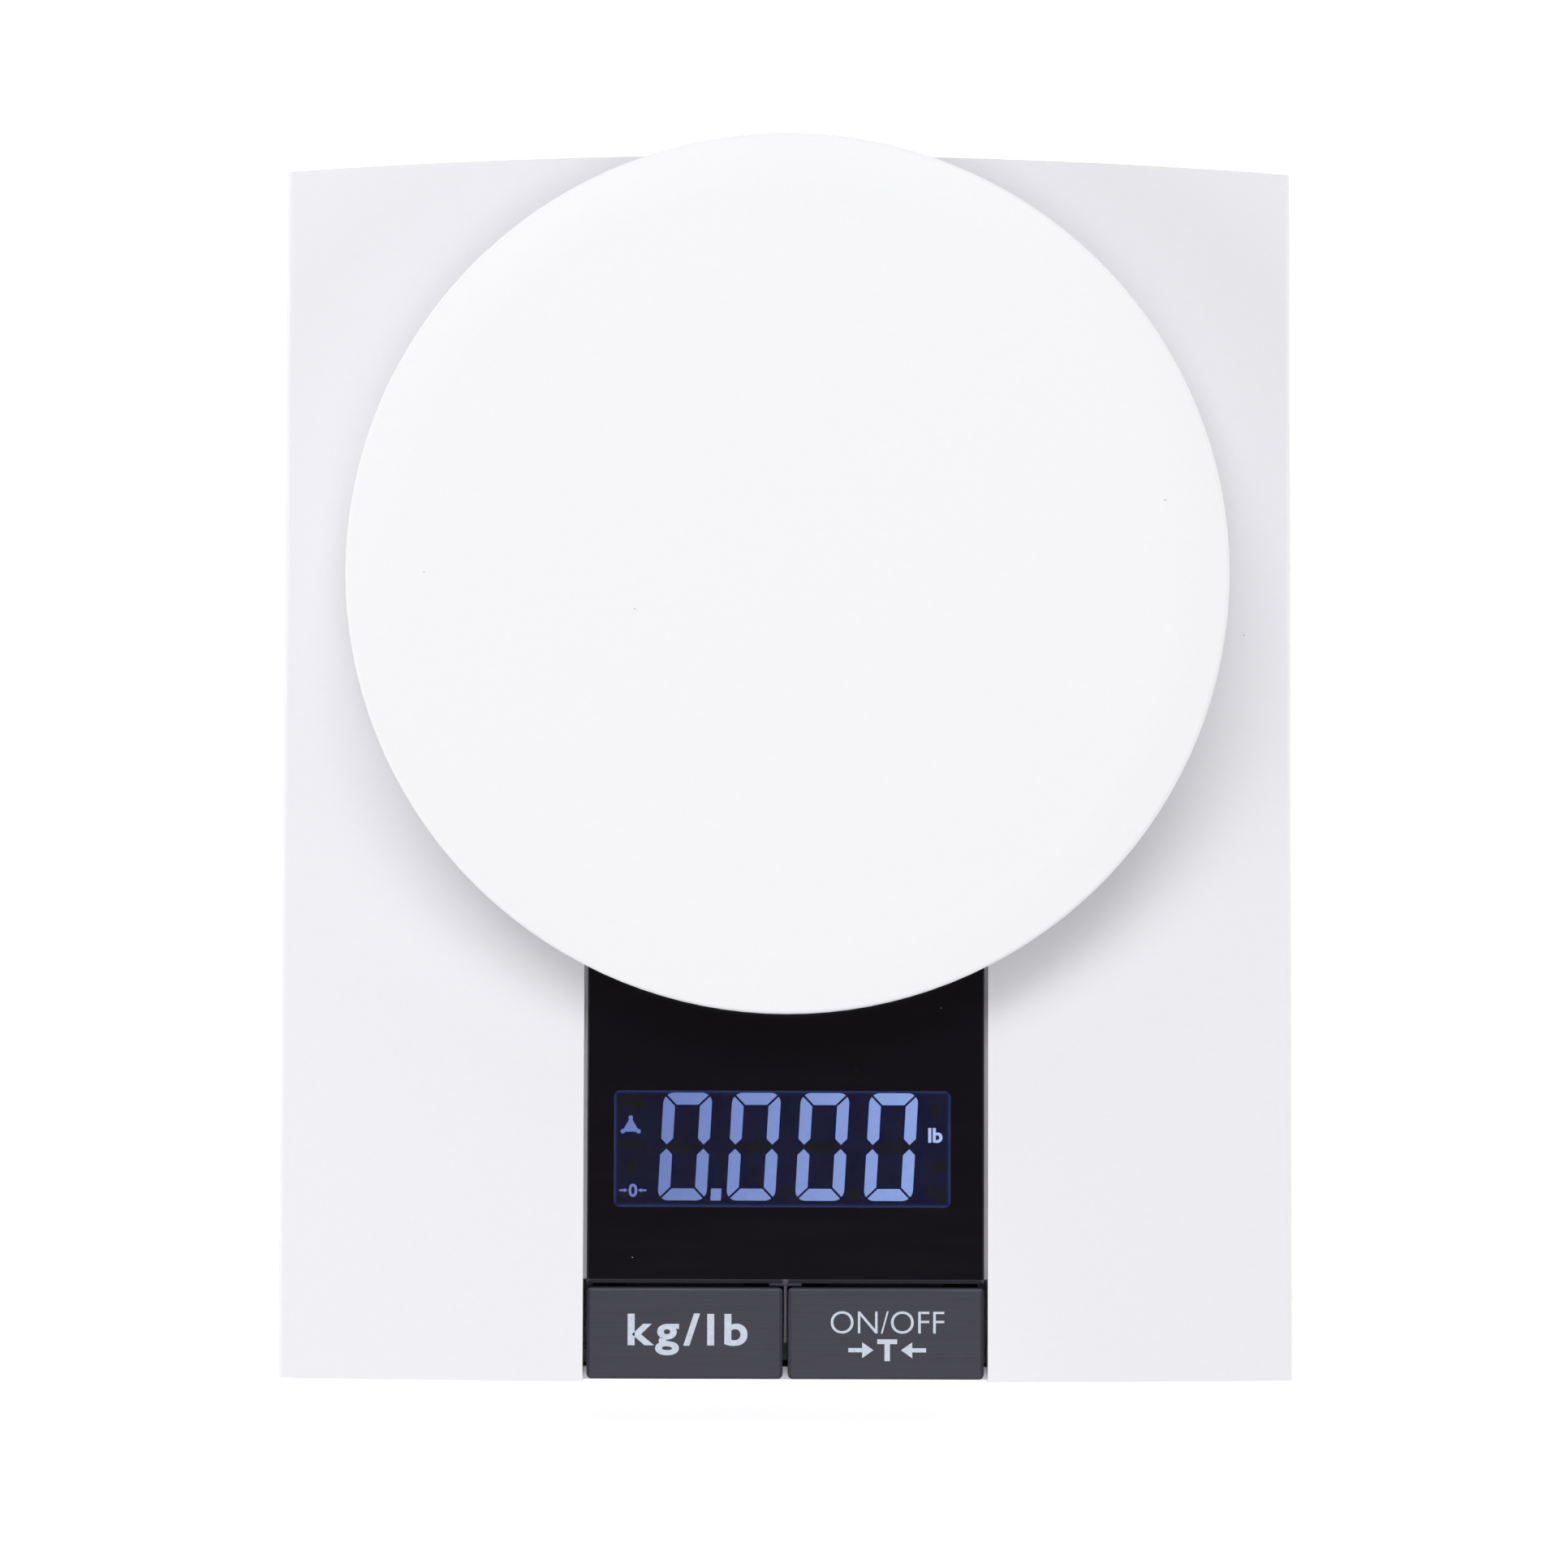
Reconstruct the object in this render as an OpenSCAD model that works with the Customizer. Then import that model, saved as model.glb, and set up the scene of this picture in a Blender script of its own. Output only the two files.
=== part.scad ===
// Digital kitchen scale: a two-part arched case, a round platform on a bending-beam load cell,
// a backlit display under a black panel, and two wide keys at the front edge.
// Millimetres, +Z up. The origin is on the table, at the middle of the footprint.
// The front edge, with the keys, faces -Y.

/* [Case] */
// Width of the case from side to side
case_w = 175; // [165:1:190]
// Depth of the case along its side edges
case_d = 209.5; // [205:0.5:225]
// How far the rear edge bows out between its corners
rear_bow = 1.6; // [1:0.1:4]
// Fall of the arched top from its ridge to the side edges
arch_rise = 9; // [7:0.5:10]
// Rounding along the upper side edges of the case
shoulder_r = 1.2; // [0.6:0.1:2]
// Rounding along the upper front edge of the case
brow_r = 0.8; // [0.4:0.1:1.5]
// Wall thickness of both halves of the case
wall = 2.2; // [1.8:0.1:2.6]
// Height of the bottom cover that shows under the top cover
plinth_h = 3; // [2.8:0.1:4]
// How far the bottom cover is set in from the top cover's sides
plinth_inset = 1.2; // [0.6:0.1:1.6]
// Height of the rim that locates the top cover from inside
rim_h = 3; // [2:0.5:5]
// Clearance around pieces that fit into each other
fit_gap = 0.3; // [0.2:0.05:0.5]

/* [Platform] */
// Diameter of the weighing platform
platform_d = 150; // [140:1:155]
// Height of the platform's skirt
platform_h = 7; // [6:0.5:9]
// Height of the open gap between the case's ridge and the platform
platform_gap = 7; // [6:0.5:10]
// Wall thickness of the platform
platform_wall = 2.2; // [1.8:0.1:3]
// Width of the band along the platform's rim that rolls off
rim_band = 9; // [5:0.5:12]
// Slope of that band at its outer end, in degrees
rim_slope = 9; // [5:0.5:12]
// Radius of the platform's outer edge
rim_edge_r = 0.8; // [0.5:0.1:1.2]
// How far the platform reaches past the rear edge of the case
platform_overhang = 1.6; // [0.5:0.1:3]
// Number of radial ribs under the platform
platform_ribs = 12; // [6:1:18]

/* [Hub] */
// Outer radius of the hub that carries the platform
hub_r = 17; // [15:0.5:18]
// Wall of the hub
hub_wall = 2.5; // [2:0.1:3]
// Clearance around the hub where it passes the top cover
hub_gap = 1.5; // [1:0.1:2.5]
// Height of the splash collar around the hub
collar_h = 2.5; // [1.5:0.1:4]
// Reach of the snap bead that holds the platform
bead_r = 0.6; // [0.4:0.05:0.8]
// Clearance between the platform's socket and the hub
snap_gap = 0.2; // [0.15:0.05:0.3]

/* [Load cell] */
// Length of the beam
cell_l = 80; // [76:1:84]
// Width of the beam
cell_w = 12.7; // [11:0.1:14]
// Height of the beam
cell_h = 12.7; // [12:0.1:14]
// Radius of the two bores that thin the beam
cell_bore_r = 4.7; // [4:0.1:5]
// Distance between the two bores
cell_bore_pitch = 14; // [11:0.5:16]
// Distance from a beam's end to its first screw
cell_screw_edge = 6; // [5:0.5:7]
// Distance between the two screws at each end
cell_screw_pitch = 13; // [11:0.5:14]
// Radius of the beam screws
cell_screw_r = 2; // [1.5:0.1:2.3]
// Thickness of the steel plate under the fixed end
cell_plate_t = 1.5; // [1:0.1:2]
// Thickness of the carrier's foot on the free end
carrier_t = 1.9; // [1.8:0.1:2.5]
// Full travel of the platform under overload
weigh_travel = 0.5; // [0.3:0.05:0.6]

/* [Display] */
// Width of the channel for panel and keys
channel_w = 69.3; // [67:0.1:72]
// Gap that shows around the keys and the panel
reveal = 0.65; // [0.5:0.05:0.8]
// Depth of the black panel, most of it in front of the platform
panel_d = 60; // [56:1:70]
// Thickness of the black panel
panel_t = 2; // [1.6:0.1:2.4]
// Fall from the case's ridge to the top of the panel
panel_drop = 1.8; // [1.6:0.1:2]
// Bevel along the panel's front edge
panel_bevel = 0.7; // [0.3:0.1:1]
// Bevel along the panel's side edges
panel_side_bevel = 0.3; // [0.2:0.05:0.5]
// Width of the clear window
window_w = 57.7; // [54:0.1:59]
// Height of the clear window, along Y
window_d = 19.9; // [18:0.1:21]
// Corner radius of the clear window
window_r = 1; // [0.6:0.1:2]
// Sideways offset of the window from the middle
window_x = -0.6; // [-1:0.1:1]
// Distance from the panel's front edge to the window
window_y = 13; // [12:0.1:14]

/* [Keys] */
// Depth of a key, along Y
key_d = 15.7; // [14:0.1:17]
// Height of a key's skirt
key_h = 6; // [5:0.1:6.2]
// Wall of a key
key_wall = 1.5; // [1.2:0.1:2]
// Corner radius of a key
key_r = 1; // [0.6:0.1:2]
// Rounding of a key's upper edges
key_edge_r = 0.6; // [0.3:0.1:1]
// Travel of a key when pressed
key_travel = 0.5; // [0.3:0.05:0.6]
// How far a key's front face stands back from the case's front
key_setback = 0.4; // [0.2:0.1:1]
// Gap between the two keys
key_gap = 0.85; // [0.7:0.05:1.2]
// Clearance of the T-shaped divider between the keys and the panel
divider_gap = 0.2; // [0.15:0.05:0.25]
// Length of the divider's stem between the keys
divider_l = 9.7; // [6:0.1:12]
// Width of the divider's bar behind the keys
divider_w = 5.5; // [4:0.1:8]

/* [Battery] */
// Diameter of one battery cell
battery_d = 10.5; // [10:0.1:11]
// Length of one battery cell over its button
battery_l = 44.5; // [43:0.5:46]
// Room for a contact spring
spring_l = 5; // [4:0.5:6]
// Wire diameter of a contact spring
spring_wire = 0.7; // [0.5:0.05:0.9]
// Thickness of the battery door
door_t = 2; // [1.6:0.1:2.1]
// Gap around the battery door
door_gap = 0.35; // [0.3:0.05:0.6]

/* [Feet and screws] */
// Height of the feet under the case
foot_h = 2; // [1.5:0.1:3]
// Radius of a foot
foot_r = 7; // [5:0.5:8]
// Depth of a foot's recess
foot_sink = 1; // [0.6:0.1:1.2]
// Distance of the feet from the sides of the case
foot_inset_x = 15.5; // [14:0.5:20]
// Distance of the feet from the front and rear corners
foot_inset_y = 24; // [22:0.5:30]
// Radius of a case screw's shank
case_screw_r = 1.4; // [1.2:0.1:1.6]
// Distance of the case screws from the edges of the case
case_screw_inset = 9.5; // [9:0.5:11]

/* [Hidden] */
$fn = 96;
big_fn = 720;
// How far a cut runs past the face that it opens
cut = 1;
// How deep a piece of one moulding is sunk into its neighbour
bite = 0.6;
// Radial clearance of screws, pegs and plungers
screw_gap = 0.05;
// Thickness of stiffening ribs
rib_t = 1.6;

// Heights from the table upwards
case_z = foot_h;
floor_z = case_z + wall;
skirt_z = case_z + plinth_h;
rim_z = skirt_z + rim_h;
cell_pad_h = 1;
cell_plate_z = floor_z + cell_pad_h;
cell_z = cell_plate_z + cell_plate_t;
cell_top_z = cell_z + cell_h;
carrier_top_z = cell_top_z + carrier_t;
ceiling_gap = 0.5;
ridge_z = carrier_top_z + ceiling_gap + wall;
platform_z = ridge_z + platform_gap;
platform_top_z = platform_z + platform_h;
plate_z = platform_top_z - platform_wall;

// Plan of the case
half_w = case_w / 2;
overall_d = case_d + rear_bow + platform_overhang;
front_y = -overall_d / 2;
corner_y = front_y + case_d;
crown_y = corner_y + rear_bow;
bow_r = (half_w * half_w + rear_bow * rear_bow) / (2 * rear_bow);
arch_r = (half_w * half_w + arch_rise * arch_rise) / (2 * arch_rise);
arch_z = ridge_z - arch_r;
platform_r = platform_d / 2;
platform_y = overall_d / 2 - platform_r;
hub_spot = [0, platform_y];

// Heights from the black panel downwards
panel_z = ridge_z - panel_drop - panel_t;
panel_top_z = panel_z + panel_t;
tape_t = 0.3;
shelf_z = panel_z - tape_t;
shelf_t = 1.8;
shelf_low_z = shelf_z - shelf_t;
glass_t = 2.1;
glass_gap = 0.1;
glass_z = panel_z - glass_gap - glass_t;
backlight_t = 3;
backlight_z = glass_z - backlight_t;
board_t = 1.6;
board_gap = 1.8;
board_top_z = backlight_z - board_gap;
board_z = board_top_z - board_t;

// Keys, panel and window in plan
key_drop = 0.2;
key_top_z = panel_top_z - key_drop;
key_z = key_top_z - key_h;
key_plate = 1.8;
key_in_z = key_top_z - key_plate;
key_w = (channel_w - 2 * reveal - key_gap) / 2;
key_x = (key_w + key_gap) / 2;
key_y = front_y + key_setback + key_d / 2;
key_rear_y = front_y + key_setback + key_d;
notch_z = key_z - reveal;
panel_y = key_rear_y + reveal;
panel_rear_y = panel_y + panel_d;
panel_w = channel_w - 2 * reveal;
channel_rear_y = panel_rear_y + reveal;
window_cy = panel_y + window_y + window_d / 2;
cheek_w = channel_w / 2 + wall;
shelf_y = panel_y + reveal;
divider_y = key_rear_y + divider_gap;
divider_drop = 1.3;
divider_z = key_top_z - divider_drop;

// Display stack in plan: the border beside the window is shared out between glass and tape
border = (panel_w - window_w) / 2 - abs(window_x);
glass_margin = 0.48 * border;
glass_hole_gap = 0.11 * border;
tape_margin = 0.2 * border;
tape_size = [panel_w - 2 * tape_margin, panel_d - 2 * tape_margin];
glass_w = window_w + 2 * glass_margin;
glass_d = window_d + 2 * glass_margin;
glass_seat = glass_margin / 2;
strip_w = 1.8;
strip_gap = 0.2;
strip_slot = strip_w + 2 * strip_gap;
frame_in_w = glass_w - 2 * glass_seat;
frame_in_d = glass_d - 2 * glass_seat;
backlight_w = frame_in_w - 2 * strip_gap;
backlight_d = frame_in_d - 2 * strip_slot;
strip_y = (frame_in_d - strip_slot) / 2;
frame_wall = 1.6;
frame_w = frame_in_w + 2 * frame_wall;
frame_d = frame_in_d + 2 * frame_wall;
peg_r = 1.2;
peg_x = frame_in_w / 2 - 2 * peg_r;
peg_y = backlight_d / 2 - 2 * peg_r;
peg_spots = [for (sx = [-1, 1], sy = [-1, 1]) [window_x + sx * peg_x, window_cy + sy * peg_y]];

// Circuit board and its screws
board_gap_side = 1;
board_edge = 1;
board_w = channel_w - 3 * board_gap_side;
board_post_r = 3;
board_screw_r = 1.1;
board_head_r = 2 * board_screw_r;
board_post_x = board_w / 2 - board_post_r - board_edge;
board_post_y = frame_d / 2 + board_post_r + board_edge;
board_post_spots = [for (sx = [-1, 1], sy = [-1, 1]) [sx * board_post_x, window_cy + sy * board_post_y]];
board_y = front_y + wall + board_gap_side;
board_rear_y = window_cy + board_post_y + board_post_r + board_edge;
board_screw_z = shelf_low_z - board_edge;
socket_h = 5;
socket_d = 6;
socket_wall = 0.8;
socket_rear_y = board_rear_y - board_edge;

// Key switches
switch_w = 6;
switch_h = 3.5;
switch_z = board_top_z;
switch_top_z = switch_z + switch_h;
plunger_r = 1.7;
plunger_h = 1;
plunger_sink = 0.8;
plunger_z = switch_top_z - plunger_sink;
plunger_top_z = switch_top_z + plunger_h;

// Load cell in plan
cell_y = platform_y - cell_l / 2;
cell_rear_y = platform_y + cell_l / 2;
fixed_screws = [for (i = [0, 1]) cell_y + cell_screw_edge + i * cell_screw_pitch];
free_screws = [for (i = [0, 1]) cell_rear_y - cell_screw_edge - i * cell_screw_pitch];
cell_foot_l = 2 * cell_screw_edge + cell_screw_pitch;
cell_head_r = 1.75 * cell_screw_r;
cell_screw_bite = 8;
cell_foot_y = cell_rear_y - cell_foot_l;
coating_margin = 1;
coating_l = cell_bore_pitch + 2 * cell_bore_r;
coating_t = 0.7;
cell_plate_over = 5.5;
cell_plate_w = cell_w + 2 * cell_plate_over;
cell_plate_l = cell_foot_l + cell_plate_over;
cell_plate_mid_y = cell_y + cell_foot_l / 2;
carrier_foot_over = 3;
stop_r = 2.5;
stop_spot = [0, cell_rear_y - cell_screw_edge - cell_screw_pitch / 2];

// Platform, its round edge and the snap socket on the hub
crown_r = rim_edge_r + (rim_band - rim_edge_r) / sin(rim_slope);
crown_c = [platform_r - rim_band, platform_top_z - crown_r];
edge_c = crown_c + (crown_r - rim_edge_r) * [sin(rim_slope), cos(rim_slope)];
rim_fall = crown_r * (1 - cos(rim_slope));
drip_gap = 1.2;
drip_r = hub_r + hub_gap + wall + drip_gap;
drip_z = ridge_z + weigh_travel + drip_gap;
socket_r = hub_r - hub_wall - snap_gap;
socket_t = 2;
socket_l = 7;
bead_z = plate_z - socket_l + socket_t;

// Battery bay in plan: tab pocket, cells and latch pocket in one box
bay_wall = 1.8;
bay_rib = 1.6;
bay_roof = 1.2;
contact_t = 0.4;
battery_gap = 0.4;
bay_in_w = 2 * battery_d + 3 * battery_gap;
bay_beam_gap = 4;
bay_x = cell_plate_w / 2 + bay_beam_gap + bay_wall + bay_in_w / 2;
contact_gap = 0.1;
contact_h = 0.8 * battery_d;
bay_cell_l = battery_l + spring_l + 2 * contact_t + 2 * contact_gap;
tab_lip = 4;
tab_room = 3.6;
nose_r = door_t / 2;
tab_pocket_l = tab_lip + door_gap + nose_r + tab_room;
latch_pocket_l = 11;
latch_lip = 3;
bay_l = tab_pocket_l + latch_pocket_l + bay_cell_l + 2 * bay_rib;
bay_y = platform_y - bay_l / 2;
bay_cell_y = bay_y + tab_pocket_l + bay_rib;
bay_cell_rear_y = bay_cell_y + bay_cell_l;
bay_rear_y = bay_y + bay_l;
door_z = case_z;
battery_z = door_z + door_t + fit_gap + battery_d / 2;
bay_top_z = battery_z + battery_d / 2 + battery_gap;
battery_x = [for (s = [-1, 1]) bay_x + s * (battery_d + battery_gap) / 2];
button_l = 1;
spring_y = [bay_cell_y, bay_cell_rear_y];
spring_turn = [1, -1];
door_lap = 1.2;
opening_w = bay_in_w + 2 * door_lap;
opening_y = bay_y + tab_lip;
opening_rear_y = bay_rear_y - latch_lip;
door_w = opening_w - 2 * door_gap;
door_y = opening_y + door_gap;
door_rear_y = opening_rear_y - door_gap;
hinge_y = door_y + nose_r;
hinge_z = door_z + nose_r;
latch_w = 9;
latch_t = 1.2;
latch_span_r = 2.9;
latch_gap_l = 5;
latch_h = 3;
terminal_tail_w = 2.4;
tail_slot_h = 2;
lead_d = 1.2;
lead_z = bay_top_z + bay_roof + fit_gap + lead_d / 2;

// Case screws: six posts that meet bosses of the top cover
post_wall = 1.8;
post_top_z = rim_z + cut;
post_web = 2.5;
case_head_r = 2 * case_screw_r;
case_head_h = 1.6;
case_head_z = post_top_z - post_web;
post_r = case_head_r + post_wall;
boss_r = case_screw_r + 1.2 * post_wall;
case_screw_bite = 3.6;
case_screw_z = post_top_z + case_screw_bite;
screw_spots = [for (sx = [-1, 1], y = [front_y + case_screw_inset, 0, corner_y - case_screw_inset])
    [sx * (half_w - case_screw_inset), y]];
foot_spots = [for (sx = [-1, 1], y = [front_y + foot_inset_y, corner_y - foot_inset_y])
    [sx * (half_w - foot_inset_x), y]];

// Contact springs: turns, radii and the rings and sides of their wire
spring_turns = 4;
spring_wide_r = 3.4;
spring_narrow_r = 2.2;
spring_rings = 8;
spring_sides = 6;

// Routes of the inner wires, chosen by hand
wire_sides = 8;
cable_d = 2.4;
sensor_socket_x = -board_w / 5;
sensor_socket_w = 12;
power_socket_x = board_w / 3.5;
power_socket_w = 8;
lead_pitch = 3;
wire_steps = 4;
wire_gap = 0.3;
wire_straight = 5;
wire_sag = 8;
socket_mid_z = board_z - socket_h / 2;
wire_end_y = socket_rear_y + wire_gap;

// A box between two corners
module span(low, high) {
    translate(low) cube(high - low);
}

// A box centred on a spot in plan, between two heights
module pad(spot, size, z0, z1) {
    translate([spot[0] - size[0] / 2, spot[1] - size[1] / 2, z0]) cube([size[0], size[1], z1 - z0]);
}

// A round post on a spot in plan, between two heights
module post(spot, r, z0, z1) {
    translate([spot[0], spot[1], z0]) cylinder(r = r, h = z1 - z0);
}

// A rectangle with round corners, centred on the origin
module round_rect(w, d, r) {
    square([w - 2 * r, d], center = true);
    square([w, d - 2 * r], center = true);
    for (sx = [-1, 1], sy = [-1, 1])
        translate([sx * (w / 2 - r), sy * (d / 2 - r)]) circle(r);
}

// Outline of the case in plan, set in evenly; only its rear edge is bowed
module case_plan(inset) {
    intersection() {
        translate([-half_w + inset, front_y + inset]) square([case_w - 2 * inset, 2 * case_d]);
        translate([0, crown_y - bow_r]) circle(bow_r - inset, $fn = big_fn);
    }
}

// Solid under the arched top, set in evenly from its sides and its arch
module arched_body(inset, z0) {
    intersection() {
        translate([0, 0, z0]) linear_extrude(ridge_z - z0 + cut) case_plan(inset);
        translate([0, front_y - cut, arch_z])
            rotate([-90, 0, 0]) cylinder(r = arch_r - inset, h = overall_d + 2 * cut, $fn = big_fn);
    }
}

// Front view of the top cover: the arch, with its shoulders rounded off
module arch_profile() {
    shoulder_x = half_w - shoulder_r;
    shoulder_z = arch_z + sqrt(pow(arch_r - shoulder_r, 2) - pow(shoulder_x, 2));
    touch_x = shoulder_x * arch_r / (arch_r - shoulder_r);
    intersection() {
        translate([0, arch_z]) circle(arch_r, $fn = big_fn);
        translate([-touch_x, skirt_z]) square([2 * touch_x, ridge_z]);
    }
    translate([-half_w, skirt_z]) square([case_w, shoulder_z - skirt_z]);
    for (sx = [-1, 1])
        translate([sx * shoulder_x, shoulder_z]) circle(shoulder_r);
}

// Side view of the arch as it is turned about its axis, with the front edge rounded off
module brow_profile() {
    translate([0, front_y]) square([arch_r - brow_r, overall_d]);
    translate([0, front_y + brow_r]) square([arch_r, overall_d]);
    translate([arch_r - brow_r, front_y + brow_r]) circle(brow_r);
}

// Outside of the top cover, with its upper edges rounded along the sides and the front
module cover_outside() {
    intersection() {
        translate([0, 0, skirt_z]) linear_extrude(ridge_z) case_plan(0);
        rotate([90, 0, 0]) linear_extrude(2 * overall_d, center = true) arch_profile();
        translate([0, 0, arch_z]) rotate([-90, 0, 0]) rotate_extrude($fn = big_fn) brow_profile();
    }
}

function unit(v) = v / norm(v);

// Points of a smooth curve through a few route points
function curve_point(a, b, c, d, t) =
    0.5 * (2 * b + (c - a) * t + (2 * a - 5 * b + 4 * c - d) * t * t
        + (3 * b - a - 3 * c + d) * t * t * t);
function smooth(route, steps) =
    let (n = len(route) - 1)
    concat(
        [for (i = [0:n - 1], s = [0:steps - 1])
            curve_point(route[max(i - 1, 0)], route[i], route[i + 1], route[min(i + 2, n)], s / steps)],
        [route[n]]
    );
function heading(points, i) =
    let (n = len(points) - 1)
    unit(points[min(i + 1, n)] - points[max(i - 1, 0)]);
function ring(centre, along, r, sides) =
    let (
        side = unit(cross(along, [0.05, 0.1, 1])),
        up = cross(side, along)
    )
    [for (k = [0:sides - 1]) centre + r * (cos(360 * k / sides) * side + sin(360 * k / sides) * up)];

// A wire of round section along its points
module wire(points, d, sides) {
    n = len(points);
    skin = [for (i = [0:n - 1]) each ring(points[i], heading(points, i), d / 2, sides)];
    quads = [for (i = [0:n - 2], k = [0:sides - 1])
        [i * sides + k, i * sides + (k + 1) % sides, (i + 1) * sides + (k + 1) % sides, (i + 1) * sides + k]];
    sides_faces = [for (q = quads) each [[q[0], q[1], q[2]], [q[0], q[2], q[3]]]];
    start_cap = [for (k = [1:sides - 2]) [0, k + 1, k]];
    end_cap = [for (k = [1:sides - 2]) [(n - 1) * sides, (n - 1) * sides + k, (n - 1) * sides + k + 1]];
    polyhedron(skin, concat(sides_faces, start_cap, end_cap));
}

module top_cover() {
    color("white") union() {
        difference() {
            union() {
                difference() {
                    cover_outside();
                    arched_body(wall, skirt_z - cut);
                }
                intersection() {
                    arched_body(wall / 2, skirt_z);
                    top_cover_inside();
                }
                post(hub_spot, hub_r + hub_gap + wall, ridge_z - wall / 2, ridge_z + collar_h);
            }
            post(hub_spot, hub_r + hub_gap, ridge_z - 2 * wall, ridge_z + collar_h + cut);
            span([-channel_w / 2, front_y - cut, shelf_z], [channel_w / 2, channel_rear_y, ridge_z + cut]);
            span([-channel_w / 2, front_y - cut, notch_z], [channel_w / 2, shelf_y, ridge_z + cut]);
            glass_hole(shelf_low_z - cut, shelf_z + cut);
            for (spot = screw_spots)
                post(spot, case_screw_r + screw_gap, post_top_z - cut, case_screw_z + bite);
            for (spot = board_post_spots)
                post(spot, board_screw_r + screw_gap, board_top_z - cut, board_screw_z + bite);
        }
        key_divider();
    }
}

// T-shaped divider on the shelf, which fills the gaps between the keys and the panel
module key_divider() {
    stem_t = key_gap - 2 * divider_gap;
    span([-divider_w / 2, divider_y, shelf_low_z], [divider_w / 2, shelf_y + bite, shelf_z]);
    span([-divider_w / 2, divider_y, shelf_low_z], [divider_w / 2, panel_y, divider_z]);
    span([-stem_t / 2, divider_y - divider_l, shelf_low_z], [stem_t / 2, panel_y, divider_z]);
}

// Shelf under the panel, cheeks beside the keys, bosses and ribs
module top_cover_inside() {
    rib_h = 2;
    rib_places = [channel_rear_y + 3 * wall, (cell_rear_y + corner_y) / 2];
    span([-cheek_w, divider_y, shelf_low_z], [cheek_w, channel_rear_y + wall, ridge_z]);
    for (sx = [-1, 1])
        translate([sx * (cheek_w + channel_w / 2) / 2, 0, 0])
            span([-wall / 2, front_y, notch_z - cut], [wall / 2, panel_y, ridge_z]);
    for (spot = screw_spots)
        post(spot, boss_r, post_top_z, ridge_z);
    for (spot = board_post_spots)
        post(spot, board_post_r, board_top_z, shelf_z);
    for (y = rib_places)
        difference() {
            span([-half_w, y, rim_z + fit_gap], [half_w, y + rib_t, ridge_z]);
            arched_body(wall + rib_h, skirt_z);
        }
}

module bottom_cover() {
    color("gainsboro") difference() {
        union() {
            difference() {
                union() {
                    translate([0, 0, case_z]) linear_extrude(plinth_h) case_plan(plinth_inset);
                    translate([0, 0, skirt_z - bite])
                        linear_extrude(rim_h + bite) case_plan(wall + fit_gap);
                }
                translate([0, 0, floor_z]) linear_extrude(ridge_z) case_plan(2 * wall + fit_gap);
            }
            bottom_cover_inside();
        }
        for (spot = screw_spots) {
            post(spot, case_screw_r + screw_gap, case_z - cut, post_top_z + cut);
            post(spot, case_head_r + fit_gap, case_z - cut, case_head_z);
        }
        for (spot = foot_spots)
            post(spot, foot_r + screw_gap, case_z - cut, case_z + foot_sink);
        for (y = fixed_screws) {
            post([0, y], cell_screw_r + screw_gap, case_z - cut, cell_z);
            post([0, y], cell_head_r + fit_gap, case_z - cut, floor_z);
        }
        post(stop_spot, stop_r + screw_gap, case_z - cut, cell_z);
        battery_bay_cuts();
    }
}

// Floor ribs, screw posts, foot pads, load cell pad and battery box
module bottom_cover_inside() {
    rib_h = 1.5;
    rib_x = half_w - 2 * foot_inset_x;
    rib_end = 3 * wall;
    foot_wall = 1.5;
    for (spot = screw_spots)
        post(spot, post_r, floor_z - bite, post_top_z);
    for (spot = foot_spots)
        post(spot, foot_r + foot_wall, floor_z - bite, floor_z + foot_sink);
    pad([0, cell_plate_mid_y], [cell_plate_w + wall, cell_plate_l + wall], floor_z - bite, cell_plate_z);
    post(stop_spot, 2 * stop_r, floor_z - bite, cell_plate_z);
    span([bay_x - bay_in_w / 2 - bay_wall, bay_y - bay_wall, floor_z - bite],
        [bay_x + bay_in_w / 2 + bay_wall, bay_rear_y + bay_wall, bay_top_z + bay_roof]);
    for (sx = [-1, 1])
        span([sx * rib_x - rib_t / 2, front_y + rib_end, floor_z - bite],
            [sx * rib_x + rib_t / 2, corner_y - rib_end, floor_z + rib_h]);
    for (y = [channel_rear_y, corner_y - foot_inset_y])
        span([-half_w + rib_end, y - rib_t / 2, floor_z - bite],
            [half_w - rib_end, y + rib_t / 2, floor_z + rib_h]);
}

module battery_bay_cuts() {
    finger_r = 0.75 * latch_w;
    x0 = bay_x - bay_in_w / 2;
    x1 = bay_x + bay_in_w / 2;
    span([x0, bay_y, floor_z], [x1, bay_cell_y - bay_rib, bay_top_z]);
    span([x0, bay_cell_y, floor_z], [x1, bay_cell_rear_y, bay_top_z]);
    span([x0, bay_cell_rear_y + bay_rib, floor_z], [x1, bay_rear_y, bay_top_z]);
    span([bay_x - opening_w / 2, opening_y, case_z - cut],
        [bay_x + opening_w / 2, opening_rear_y, floor_z]);
    for (x = battery_x)
        pad([x, bay_cell_y], [terminal_tail_w + 2 * fit_gap, 2 * bay_rib + contact_t],
            bay_top_z - tail_slot_h, bay_top_z + bay_roof + cut);
    post([bay_x, opening_rear_y], finger_r, case_z - cut, case_z + wall / 2);
}

// Overload stop: a set screw under the free end of the beam, with a six-sided socket
module overload_stop() {
    stop_z = case_z + fit_gap;
    stop_gap = 0.1;
    socket_depth = 1.2;
    color("silver") difference() {
        post(stop_spot, stop_r, stop_z, cell_z - weigh_travel - stop_gap);
        translate([stop_spot[0], stop_spot[1], stop_z - cut])
            cylinder(r = stop_r / 2, h = socket_depth + cut, $fn = 6);
    }
}

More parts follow.
